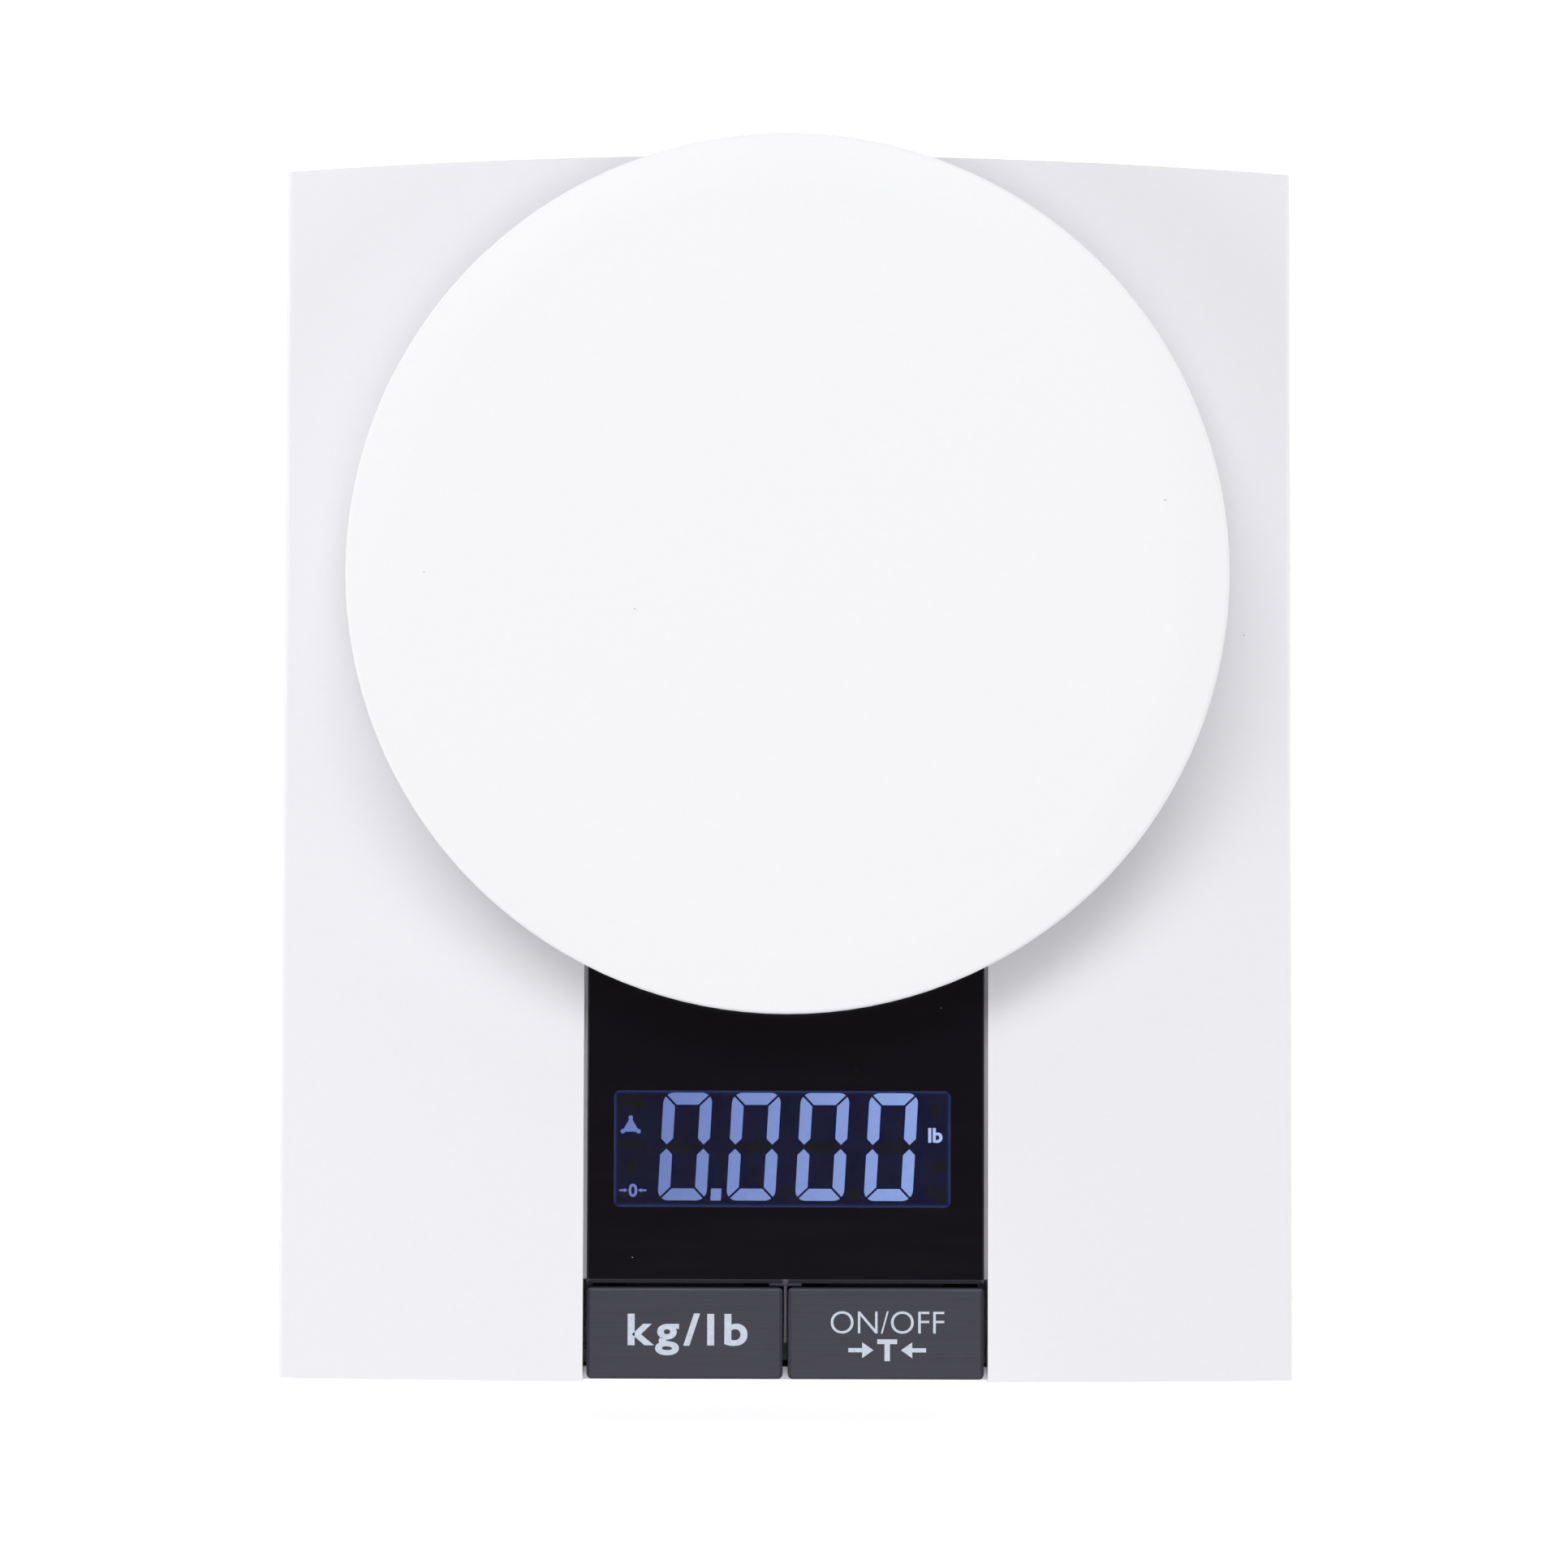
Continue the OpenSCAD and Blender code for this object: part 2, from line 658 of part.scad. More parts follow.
// A flat disc that rolls off towards its rim, with a skirt below
module platform() {
    skirt_r = platform_r - platform_wall;
    roll_end = edge_c + rim_edge_r * [sin(rim_slope), cos(rim_slope)];
    color("white") union() {
        translate([0, platform_y, 0]) rotate_extrude() {
            polygon([
                [0, plate_z], [0, platform_top_z], [crown_c[0], platform_top_z], roll_end, edge_c,
                [platform_r, edge_c[1]], [platform_r, platform_z], [skirt_r, platform_z],
                [skirt_r, plate_z - rim_fall], [drip_r, plate_z]
            ]);
            translate(edge_c) circle(rim_edge_r);
            intersection() {
                translate(crown_c) circle(crown_r, $fn = big_fn);
                translate([crown_c[0], roll_end[1] - bite]) square([roll_end[0] - crown_c[0], platform_h]);
            }
        }
        platform_underside();
    }
}

// Drip ring, ribs and the socket that snaps into the hub
module platform_underside() {
    rib_h = 3;
    rib_z = plate_z - rib_h;
    ring_r = (drip_r + platform_r) / 2;
    finger_gap = 3;
    translate([0, platform_y, 0]) {
        difference() {
            post([0, 0], drip_r + platform_wall, drip_z, plate_z + bite);
            post([0, 0], drip_r, drip_z - cut, plate_z);
        }
        difference() {
            rotate_extrude() {
                translate([socket_r - socket_t, plate_z - socket_l]) square([socket_t, socket_l + bite]);
                translate([socket_r, bead_z]) circle(bead_r);
            }
            for (a = [0, 90])
                rotate(a) pad([0, 0], [2 * hub_r, finger_gap], plate_z - socket_l - cut, plate_z);
        }
        for (i = [0:platform_ribs - 1])
            rotate(360 * (i + 0.5) / platform_ribs)
                span([drip_r + platform_wall / 2, -rib_t / 2, rib_z],
                    [platform_r - platform_wall / 2, rib_t / 2, plate_z]);
        difference() {
            post([0, 0], ring_r + rib_t / 2, rib_z, plate_z);
            post([0, 0], ring_r - rib_t / 2, rib_z - cut, plate_z);
        }
    }
}

module platform_carrier() {
    hub_z = cell_top_z + coating_t + weigh_travel + fit_gap;
    hub_floor_z = hub_z + hub_wall;
    foot_w = cell_w + 2 * carrier_foot_over;
    groove = bead_r + snap_gap;
    color("lightgray") difference() {
        union() {
            post(hub_spot, hub_r, hub_z, plate_z);
            intersection() {
                post(hub_spot, hub_r, cell_top_z, plate_z);
                span([-hub_r, cell_foot_y, cell_top_z], [hub_r, cell_rear_y, hub_floor_z]);
            }
            pad([0, cell_rear_y - cell_foot_l / 2], [foot_w, cell_foot_l], cell_top_z, carrier_top_z);
        }
        post(hub_spot, hub_r - hub_wall, hub_floor_z, plate_z + cut);
        translate([0, platform_y, 0]) rotate_extrude()
            translate([socket_r, bead_z]) circle(groove);
        for (y = free_screws) {
            post([0, y], cell_screw_r + screw_gap, cell_top_z - cut, carrier_top_z + cut);
            translate([0, y, cell_top_z])
                cylinder(r1 = cell_screw_r + screw_gap, r2 = cell_head_r + screw_gap, h = carrier_t);
            post([0, y], cell_head_r + fit_gap, carrier_top_z, plate_z);
        }
    }
}

module load_cell() {
    mid = [0, platform_y, cell_z + cell_h / 2];
    color("silver") difference() {
        pad([0, platform_y], [cell_w, cell_l], cell_z, cell_top_z);
        for (s = [-1, 1])
            translate(mid + [0, s * cell_bore_pitch / 2, 0])
                rotate([0, 90, 0]) cylinder(r = cell_bore_r, h = cell_w + 2 * cut, center = true);
        translate(mid) cube([cell_w + 2 * cut, cell_bore_pitch, cell_bore_r], center = true);
        for (y = fixed_screws)
            post([0, y], cell_screw_r + screw_gap, cell_z - cut, cell_z + cell_screw_bite + cut);
        for (y = free_screws)
            post([0, y], cell_screw_r + screw_gap, cell_top_z - cell_screw_bite - cut, cell_top_z + cut);
    }
}

// Soft white coating over the strain gauges, above and below the bores
module gauge_coating() {
    coat_r = 2;
    color("ivory") for (z = [cell_z - coating_t, cell_top_z])
        translate([0, platform_y, z])
            linear_extrude(coating_t) round_rect(cell_w - 2 * coating_margin, coating_l, coat_r);
}

module cell_plate() {
    color("lightsteelblue") difference() {
        pad([0, cell_plate_mid_y], [cell_plate_w, cell_plate_l], cell_plate_z, cell_z);
        for (y = fixed_screws)
            post([0, y], cell_screw_r + screw_gap, cell_plate_z - cut, cell_z + cut);
    }
}

module cell_screws() {
    head_h = 1.5;
    color("silver") for (y = fixed_screws) difference() {
        union() {
            post([0, y], cell_head_r, floor_z - head_h, floor_z);
            post([0, y], cell_screw_r, floor_z - bite, cell_z + cell_screw_bite);
        }
        cross_slot([0, y, floor_z - head_h], cell_head_r);
    }
}

module carrier_screws() {
    color("silver") for (y = free_screws) difference() {
        union() {
            translate([0, y, cell_top_z])
                cylinder(r1 = cell_screw_r, r2 = cell_head_r, h = carrier_t);
            post([0, y], cell_screw_r, cell_top_z - cell_screw_bite, carrier_top_z - carrier_t / 2);
        }
        cross_slot([0, y, carrier_top_z], cell_head_r);
    }
}

// Cross recess cut into a screw head at the height of its face
module cross_slot(face, head_r) {
    slot = [1.2 * head_r, 0.3 * head_r, 1.4];
    for (a = [0, 90])
        translate(face) rotate(a) cube(slot, center = true);
}

module display_panel() {
    front_side = panel_bevel * sqrt(2);
    side_side = panel_side_bevel * sqrt(2);
    color("black") difference() {
        pad([0, panel_y + panel_d / 2], [panel_w, panel_d], panel_z, panel_top_z);
        window_shape(0, panel_z - cut, panel_top_z + cut);
        translate([0, panel_y, panel_top_z]) rotate([45, 0, 0])
            cube([panel_w + 2 * cut, front_side, front_side], center = true);
        for (sx = [-1, 1])
            translate([sx * panel_w / 2, panel_y + panel_d / 2, panel_top_z]) rotate([0, 45, 0])
                cube([side_side, panel_d + 2 * cut, side_side], center = true);
    }
}

// Room for the display glass, through the shelf and the adhesive frame
module glass_hole(z0, z1) {
    pad([window_x, window_cy], [glass_w + 2 * glass_hole_gap, glass_d + 2 * glass_hole_gap], z0, z1);
}

module window_shape(gap, z0, z1) {
    translate([window_x, window_cy, z0]) linear_extrude(z1 - z0)
        round_rect(window_w - 2 * gap, window_d - 2 * gap, window_r - gap);
}

module display_window() {
    color("lightblue", 0.4) window_shape(screw_gap, panel_z, panel_top_z);
}

// Adhesive frame that holds the panel on its shelf
module panel_tape() {
    color("dimgray") difference() {
        pad([0, panel_y + panel_d / 2], tape_size, shelf_z, panel_z);
        glass_hole(shelf_z - cut, panel_z + cut);
    }
}

module lcd_glass() {
    color("midnightblue") pad([window_x, window_cy], [glass_w, glass_d], glass_z, glass_z + glass_t);
}

module lcd_backlight() {
    color("white")
        pad([window_x, window_cy], [backlight_w, backlight_d], backlight_z, backlight_z + backlight_t);
}

// Open frame around the backlight, with a crossbar floor and pegs into the board
module lcd_frame() {
    color("whitesmoke") difference() {
        union() {
            pad([window_x, window_cy], [frame_w, frame_d], board_top_z, glass_z);
            for (spot = peg_spots)
                post(spot, peg_r, board_z + fit_gap, board_top_z + bite);
        }
        pad([window_x, window_cy], [frame_in_w, backlight_d], backlight_z, glass_z + cut);
        for (sy = [-1, 1])
            pad([window_x, window_cy + sy * strip_y], [frame_in_w, strip_slot],
                board_top_z - cut, glass_z + cut);
    }
}

// Rubber strips that join the glass to the board
module contact_strips() {
    color("pink") for (sy = [-1, 1])
        pad([window_x, window_cy + sy * strip_y], [backlight_w, strip_w], board_top_z, glass_z);
}

module circuit_board() {
    color("darkgreen") difference() {
        span([-board_w / 2, board_y, board_z], [board_w / 2, board_rear_y, board_top_z]);
        for (spot = board_post_spots)
            post(spot, board_screw_r + screw_gap, board_z - cut, board_top_z + cut);
        for (spot = peg_spots)
            post(spot, peg_r + screw_gap, board_z - cut, board_top_z + cut);
    }
}

// Controller under a low resin cap on the underside of the board
module controller_chip() {
    chip_r = 6.5;
    cap_r = 4.5;
    cap_h = 1.3;
    color("black") translate([0, window_cy, board_z - cap_h]) cylinder(r1 = cap_r, r2 = chip_r, h = cap_h);
}

// A capacitor can, a crystal and two small chips under the board
module board_parts() {
    can_r = 2.5;
    can_h = 5;
    crystal = [10, 4.4];
    crystal_h = 2.5;
    chip = [5, 4];
    chip_h = 1.4;
    part_x = board_w / 4;
    part_y = frame_d / 5;
    color("goldenrod") {
        post([part_x, window_cy + part_y], can_r, board_z - can_h, board_z);
        translate([-part_x, window_cy + part_y, board_z - crystal_h])
            linear_extrude(crystal_h) round_rect(crystal[0], crystal[1], crystal[1] * 0.45);
        for (sx = [-1, 1])
            pad([sx * part_x, window_cy - part_y], chip, board_z - chip_h, board_z);
    }
}

// A shrouded socket under the rear edge of the board, open downwards
module board_socket(x, w) {
    mid_y = socket_rear_y - socket_d / 2;
    color("ivory") difference() {
        pad([x, mid_y], [w, socket_d], board_z - socket_h, board_z);
        pad([x, mid_y], [w - 2 * socket_wall, socket_d - 2 * socket_wall],
            board_z - socket_h - cut, board_z - socket_wall);
    }
}

module sensor_socket() {
    board_socket(sensor_socket_x, sensor_socket_w);
}

module power_socket() {
    board_socket(power_socket_x, power_socket_w);
}

module key_switch(side) {
    spot = [side * key_x, key_y];
    color("dimgray") difference() {
        pad(spot, [switch_w, switch_w], switch_z, switch_top_z);
        post(spot, plunger_r + screw_gap, plunger_z - key_travel - fit_gap, switch_top_z + cut);
    }
}

module key_plunger(side) {
    color("black") post([side * key_x, key_y], plunger_r, plunger_z, plunger_top_z);
}

// Outside of a key: its plan, with the upper edges rounded off along both directions
module key_block(spot) {
    translate([spot[0], spot[1], 0]) intersection() {
        translate([0, 0, key_z]) linear_extrude(key_h) round_rect(key_w, key_d, key_r);
        translate([0, 0, key_top_z - key_h]) rotate([90, 0, 0])
            linear_extrude(2 * key_d, center = true) round_rect(key_w, 2 * key_h, key_edge_r);
        translate([0, 0, key_top_z - key_h]) rotate([90, 0, 90])
            linear_extrude(2 * key_w, center = true) round_rect(key_d, 2 * key_h, key_edge_r);
    }
}

// A hollow key with a foot on its switch and a lip that catches under the shelf
module key(side) {
    spot = [side * key_x, key_y];
    lip_w = key_w * 0.6;
    lip_l = 1.6;
    lip_z = shelf_low_z - fit_gap;
    foot_r = plunger_r + bite;
    rib_z = key_z + 2;
    color("dimgray") union() {
        difference() {
            key_block(spot);
            pad(spot, [key_w - 2 * key_wall, key_d - 2 * key_wall], key_z - cut, key_in_z);
        }
        post(spot, foot_r, plunger_top_z, key_in_z + bite);
        for (sx = [-1, 1])
            pad([spot[0] + sx * key_w / 4, spot[1]], [rib_t, key_d - key_wall], rib_z, key_in_z + bite);
        span([spot[0] - lip_w / 2, key_rear_y - key_wall, key_z],
            [spot[0] + lip_w / 2, key_rear_y + lip_l, lip_z]);
    }
}

module unit_switch() {
    key_switch(-1);
}

module tare_switch() {
    key_switch(1);
}

module unit_plunger() {
    key_plunger(-1);
}

module tare_plunger() {
    key_plunger(1);
}

module unit_key() {
    key(-1);
}

module tare_key() {
    key(1);
}

module board_screws() {
    head_h = 1.3;
    color("silver") for (spot = board_post_spots) difference() {
        union() {
            post(spot, board_head_r, board_z - head_h, board_z);
            post(spot, board_screw_r, board_z - bite, board_screw_z);
        }
        cross_slot([spot[0], spot[1], board_z - head_h], board_head_r);
    }
}

module case_screws() {
    color("silver") for (spot = screw_spots) difference() {
        union() {
            post(spot, case_head_r, case_head_z - case_head_h, case_head_z);
            post(spot, case_screw_r, case_head_z - bite, case_screw_z);
        }
        cross_slot([spot[0], spot[1], case_head_z - case_head_h], case_head_r);
    }
}

module rubber_feet() {
    edge = 0.6;
    color("gray") for (spot = foot_spots)
        translate([spot[0], spot[1], 0]) rotate_extrude()
            polygon([[0, 0], [foot_r - edge, 0], [foot_r, edge], [foot_r, foot_h + foot_sink],
                [0, foot_h + foot_sink]]);
}

// Battery door: a plate with a round hinge nose and tabs, grip grooves and a spring latch at its rear
module battery_door() {
    tab_w = 5;
    tab_x = door_w / 2 - tab_w;
    grip_count = 3;
    grip_pitch = 2.4;
    grip_r = 0.6;
    color("gainsboro") union() {
        difference() {
            span([bay_x - door_w / 2, hinge_y, door_z], [bay_x + door_w / 2, door_rear_y, door_z + door_t]);
            pad([bay_x, door_rear_y], [latch_w + 2, 2 * latch_gap_l], door_z - cut, door_z + door_t + cut);
            for (i = [1:grip_count])
                translate([bay_x, door_rear_y - latch_gap_l - i * grip_pitch, door_z])
                    rotate([0, 90, 0]) cylinder(r = grip_r, h = door_w / 2, center = true);
        }
        translate([bay_x - door_w / 2, hinge_y, hinge_z])
            rotate([0, 90, 0]) cylinder(r = nose_r, h = door_w);
        for (sx = [-1, 1])
            translate([bay_x + sx * tab_x, hinge_y, 0]) door_tab(tab_w);
        translate([bay_x - latch_w / 2, 0, 0]) rotate([90, 0, 90]) linear_extrude(latch_w) latch_profile();
    }
}

// Tab that reaches over the floor of the case and swings up as the door opens
module door_tab(tab_w) {
    tab_z = floor_z + fit_gap;
    tab_t = 1.4;
    tab_reach = 2.6;
    span([-tab_w / 2, 0, hinge_z], [tab_w / 2, nose_r, tab_z + tab_t]);
    span([-tab_w / 2, -nose_r - door_gap - tab_reach, tab_z], [tab_w / 2, nose_r, tab_z + tab_t]);
}

// Side view of the latch: an upturned U with a finger end and a small nib
module latch_profile() {
    outer_y = door_rear_y - door_gap;
    mid_y = outer_y - latch_span_r;
    bend_z = door_z + door_t + latch_h;
    finger_z = door_z + fit_gap;
    nib_z = floor_z + fit_gap;
    nib_h = 1.6;
    nib_y = outer_y - latch_t / 2;
    translate([mid_y - latch_span_r, door_z + door_t / 2])
        square([latch_t, bend_z - door_z - door_t / 2]);
    translate([outer_y - latch_t, finger_z]) square([latch_t, bend_z - finger_z]);
    difference() {
        translate([mid_y, bend_z]) circle(latch_span_r);
        translate([mid_y, bend_z]) circle(latch_span_r - latch_t);
        translate([mid_y - 2 * latch_span_r, bend_z - 2 * latch_span_r])
            square([4 * latch_span_r, 2 * latch_span_r]);
    }
    polygon([[nib_y, nib_z], [outer_y + door_gap, nib_z], [nib_y, nib_z + nib_h]]);
}

// Two cells side by side, the second turned about
module battery_cells() {
    button_d = battery_d * 0.36;
    color("tan") for (i = [0, 1]) {
        turn = spring_turn[i];
        start_y = spring_y[i] + turn * (contact_t + spring_l + contact_gap);
        translate([battery_x[i], start_y, battery_z]) rotate([-turn * 90, 0, 0]) {
            cylinder(d = battery_d, h = battery_l - button_l);
            cylinder(d = button_d, h = battery_l);
        }
    }
}

// Plate at the rear end that joins the two cells
module battery_link() {
    link_w = bay_in_w - 2 * bite;
    color("silver") span([bay_x - link_w / 2, bay_cell_rear_y - contact_t, battery_z - contact_h / 2],
        [bay_x + link_w / 2, bay_cell_rear_y, battery_z + contact_h / 2]);
}

// Plates at the front end, with a bent tail that carries the lead
module battery_terminals() {
    color("silver") for (x = battery_x) {
        span([x - contact_h / 2, bay_cell_y, battery_z - contact_h / 2],
            [x + contact_h / 2, bay_cell_y + contact_t, battery_z + contact_h / 2]);
        span([x - terminal_tail_w / 2, bay_cell_y, battery_z],
            [x + terminal_tail_w / 2, bay_cell_y + contact_t, lead_z + lead_d / 2]);
    }
}

// Conical contact springs, one at the minus end of each cell
function spring_points() =
    [for (i = [0:spring_turns * spring_rings])
        let (
            t = i / (spring_turns * spring_rings),
            r = spring_wide_r + (spring_narrow_r - spring_wide_r) * t,
            a = 360 * spring_turns * t
        )
        [r * cos(a), r * sin(a), spring_wire / 2 + (spring_l - spring_wire) * t]];
function least_gap(points, skip) =
    min([for (i = [0:len(points) - 1], j = [i + skip:1:len(points) - 1]) norm(points[i] - points[j])]);
echo(spring_gap = least_gap(spring_points(), spring_rings / 2 + 1) - spring_wire);
module battery_springs() {
    color("silver") for (i = [0, 1]) {
        start_y = spring_y[i] + spring_turn[i] * (contact_t + contact_gap / 2);
        translate([battery_x[i], start_y, battery_z])
            rotate([-spring_turn[i] * 90, 0, 0]) wire(spring_points(), spring_wire, spring_sides);
    }
}

// A wire that leaves one place rearwards of the board and runs straight into its socket
module socket_wire(start, turn, socket_x, d) {
    end = [socket_x, wire_end_y, socket_mid_z];
    bend = turn + [0, -wire_straight, -wire_straight / 2];
    middle = (bend + end) / 2;
    route = [start, turn, bend, [middle[0], middle[1], end[2]], end + [0, wire_straight, 0], end];
    wire(smooth(route, wire_steps), d, wire_sides);
}

// Cable from the fixed end of the beam to its socket
module sensor_cable() {
    start = [0, cell_y - wire_gap, cell_z + cell_h / 2];
    color("dimgray") socket_wire(start, start + [0, -wire_sag, 0], sensor_socket_x, cable_d);
}

// Two leads from the terminal tails over the battery box to the power socket
module battery_leads() {
    color("firebrick") for (i = [0, 1]) {
        start = [battery_x[i], bay_cell_y - wire_gap, lead_z];
        turn = [battery_x[i], bay_y - bay_wall - wire_straight, lead_z];
        socket_wire(start, turn, power_socket_x + (i - 0.5) * lead_pitch, lead_d);
    }
}

top_cover();
bottom_cover();
platform();
platform_carrier();
load_cell();
gauge_coating();
cell_plate();
cell_screws();
carrier_screws();
overload_stop();
display_panel();
display_window();
panel_tape();
lcd_glass();
lcd_backlight();
lcd_frame();
contact_strips();
circuit_board();
controller_chip();
board_parts();
sensor_socket();
power_socket();
unit_switch();
tare_switch();
unit_plunger();
tare_plunger();
unit_key();
tare_key();
board_screws();
case_screws();
rubber_feet();
battery_door();
battery_cells();
battery_link();
battery_terminals();
battery_springs();
sensor_cable();
battery_leads();
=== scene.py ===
import math

import bmesh
import bpy
from bpy.props import FloatProperty, FloatVectorProperty, PointerProperty, StringProperty
from mathutils import Matrix, Vector


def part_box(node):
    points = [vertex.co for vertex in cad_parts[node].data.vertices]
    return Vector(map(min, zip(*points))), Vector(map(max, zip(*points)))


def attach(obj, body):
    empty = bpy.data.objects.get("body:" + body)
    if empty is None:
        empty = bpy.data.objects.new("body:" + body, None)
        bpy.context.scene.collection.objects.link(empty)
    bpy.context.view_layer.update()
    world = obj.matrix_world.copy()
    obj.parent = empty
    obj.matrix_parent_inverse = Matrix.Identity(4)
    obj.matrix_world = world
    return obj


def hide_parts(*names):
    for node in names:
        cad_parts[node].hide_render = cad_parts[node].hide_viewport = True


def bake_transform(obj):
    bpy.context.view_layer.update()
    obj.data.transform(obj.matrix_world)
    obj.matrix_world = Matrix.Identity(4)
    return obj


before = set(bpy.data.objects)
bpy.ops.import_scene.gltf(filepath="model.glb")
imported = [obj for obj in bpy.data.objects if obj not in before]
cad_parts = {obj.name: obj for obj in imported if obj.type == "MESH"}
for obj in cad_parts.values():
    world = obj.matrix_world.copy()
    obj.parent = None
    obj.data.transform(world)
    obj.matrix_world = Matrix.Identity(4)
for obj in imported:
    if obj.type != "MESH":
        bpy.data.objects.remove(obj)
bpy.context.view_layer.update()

bl_info = {
    "name": "Kitchen Scale",
    "version": (1, 0, 0),
    "blender": (4, 5, 0),
    "location": "View3D > Sidebar > Scale",
    "description": "Finishes, display, key legends and studio for a flat kitchen scale",
    "category": "Object",
}

MM = 0.001
WHITE = (1, 1, 1, 1)


# Settings

def linear(red, green, blue):
    """Linear colour, by the sRGB curve, from the 0 to 255 values that a screen shows."""
    def channel(value):
        share = value / 255
        return share / 12.92 if share <= 0.04045 else ((share + 0.055) / 1.055) ** 2.4
    return (channel(red), channel(green), channel(blue))


def colour_setting(name, description, shown):
    """A colour that a user may change, given as it shows on a screen."""
    return FloatVectorProperty(
        name=name, description=description, default=linear(*shown), size=3, subtype="COLOR",
        min=0.0, max=1.0,
    )


def length_setting(name, description, millimetres):
    """A length that a user may change."""
    return FloatProperty(
        name=name, description=description, default=millimetres * MM, unit="LENGTH", precision=5,
    )


def light_setting(name, description, value):
    """A brightness that a user may change."""
    return FloatProperty(name=name, description=description, default=value, min=0.0, max=10.0)


def angle_setting(name, description, radians):
    """An angle that a user may change."""
    return FloatProperty(
        name=name, description=description, default=radians, subtype="ANGLE", precision=5,
    )


def place_setting(name, description, millimetres):
    """A point that a user may change."""
    return FloatVectorProperty(
        name=name, description=description, default=[value * MM for value in millimetres], size=3,
        subtype="TRANSLATION", unit="LENGTH", precision=5,
    )


class StageSettings(bpy.types.PropertyGroup):
    """Camera, floor and lights."""

    camera_place: place_setting("Camera", "Where the camera hangs", (-0.49, -51.96, 900))
    camera_tilt: angle_setting("Tilt", "Lean of the camera towards the rear", 0.0545867)
    camera_roll: angle_setting("Roll", "Turn of the camera about its own axis", 0.0029955)
    camera_lens: FloatProperty(
        name="Lens", description="Focal length on a 36 mm sensor", default=117.316, unit="CAMERA",
    )
    floor_radius: length_setting("Floor radius", "Radius of the round floor", 6000)
    floor_colour: colour_setting("Floor", "Colour of the floor", (243, 243, 244))
    floor_glow: light_setting("Floor glow", "Light that the seen floor adds beside the part", 0.32)
    rear_light: light_setting("Rear light", "Light on the table from the rear softbox", 1.34)
    left_light: light_setting("Left light", "Light on the table from the left softbox", 0.34)
    front_light: light_setting("Front light", "Light on the table from the front softbox", 0.6)
    right_light: light_setting("Right light", "Light on the table from the right softbox", 0.2)
    low_light: light_setting("Low light", "Light from below on the underside", 1.2)
    walls: light_setting("Walls", "Brightness of the studio's walls", 0.86)
    ceiling: light_setting("Ceiling", "Brightness of the studio's ceiling", 0.06)


class CaseSettings(bpy.types.PropertyGroup):
    """Covers and platform."""

    cover_colour: colour_setting("Cover", "Gloss white of the top cover", (241, 240, 245))
    platform_colour: colour_setting("Platform", "Satin white of the platform", (242, 242, 245))
    base_colour: colour_setting("Base", "Matt white of the bottom cover and door", (232, 232, 231))
    carrier_colour: colour_setting("Carrier", "Grey carrier under the platform", (203, 205, 208))
    dust_colour: colour_setting("Dust", "Specks of dust on the white parts", (150, 148, 146))
    divider_colour: colour_setting("Divider", "Dark grey between the two keys", (100, 97, 106))
    divider_w: length_setting("Divider width", "Width that is coloured at the divider's head", 5.6)
    divider_l: length_setting("Divider length", "Coloured length, from the rear of the keys", 11.6)
    edge_r: length_setting("Edges", "Rounding of the bottom cover's edges", 0.25)


class DisplaySettings(bpy.types.PropertyGroup):
    """Black panel, window and what the display shows."""

    readout: StringProperty(
        name="Readout", description="Figures that the display shows", default="0.000",
    )
    panel_colour: colour_setting("Panel", "Gloss black of the panel", (17, 14, 19))
    panel_dust: colour_setting("Panel dust", "Specks of dust on the panel", (150, 150, 156))
    # Paler strip at the panel's front edge: a paler cut edge, with a painted highlight of its bevel
    cut_edge_and_highlight_colour: colour_setting("Cut edge", "Bevelled front edge of the panel", (48, 46, 53))
    cut_and_highlight_w: length_setting("Cut width", "Width of the bevelled front edge", 0.7)
    ground_left: colour_setting("Ground, left", "Display ground at its left end", (5, 1, 30))
    ground_right: colour_setting("Ground, right", "Display ground at its right end", (3, 0, 40))
    # Painted reflection of the window's edge as a paler glowing rim; the display's clouds drift
    # towards half this colour
    cloud_and_reflection_colour: colour_setting("Rim", "Paler line along the window's edge", (40, 55, 104))
    reflection_w: length_setting("Rim width", "Width of the paler line", 0.7)
    lit_left: colour_setting("Lit, left", "Lit segments at the left end", (106, 125, 188))
    lit_right: colour_setting("Lit, right", "Lit segments at the right end", (151, 177, 240))
    sign_left: colour_setting("Signs, left", "Lit signs at the left end", (106, 125, 198))
    sign_right: colour_setting("Signs, right", "Lit signs at the right end", (184, 205, 255))
    unlit_colour: colour_setting("Unlit", "Segments and signs that are off", (8, 7, 14))
    digit_w: length_setting("Digit width", "Width of one figure", 8.37)
    digit_h: length_setting("Digit height", "Height of one figure", 18.45)
    digit_pitch: length_setting("Digit pitch", "Distance from one figure to the next", 11.785)
    digit_slant: length_setting("Digit slant", "Lean of a figure over its height", 1.03)
    digit_x: length_setting("First digit", "First figure's foot, from the window's left edge", 7.41)
    digit_y: length_setting("Digit foot", "Foot of the figures, from the window's front edge", 1.04)
    stroke: length_setting("Stroke", "Width of a segment", 2.05)
    segment_gap: length_setting("Segment gap", "Gap between two segments", 0.36)
    corner_r: length_setting("Digit corner", "Outer corner radius of a figure", 1.8)
    film: length_setting("Film", "Thickness of the display's marks", 0.03)
    backlight_colour: colour_setting("Backlight", "White diffuser of the display", (240, 244, 252))
    frame_colour: colour_setting("Display frame", "White frame of the display", (228, 228, 225))
    contact_colour: colour_setting("Contact strips", "Pink contact rubber", (214, 168, 164))
    tape_colour: colour_setting("Tape", "Grey foam tape under the panel", (82, 82, 84))


class KeySettings(bpy.types.PropertyGroup):
    """Keys and their legends."""

    key_colour: colour_setting("Keys", "Dark grey of the keys", (46, 45, 59))
    legend_colour: colour_setting("Legends", "Print on the keys", (205, 215, 230))
    ink: length_setting("Ink", "Thickness of the print", 0.02)


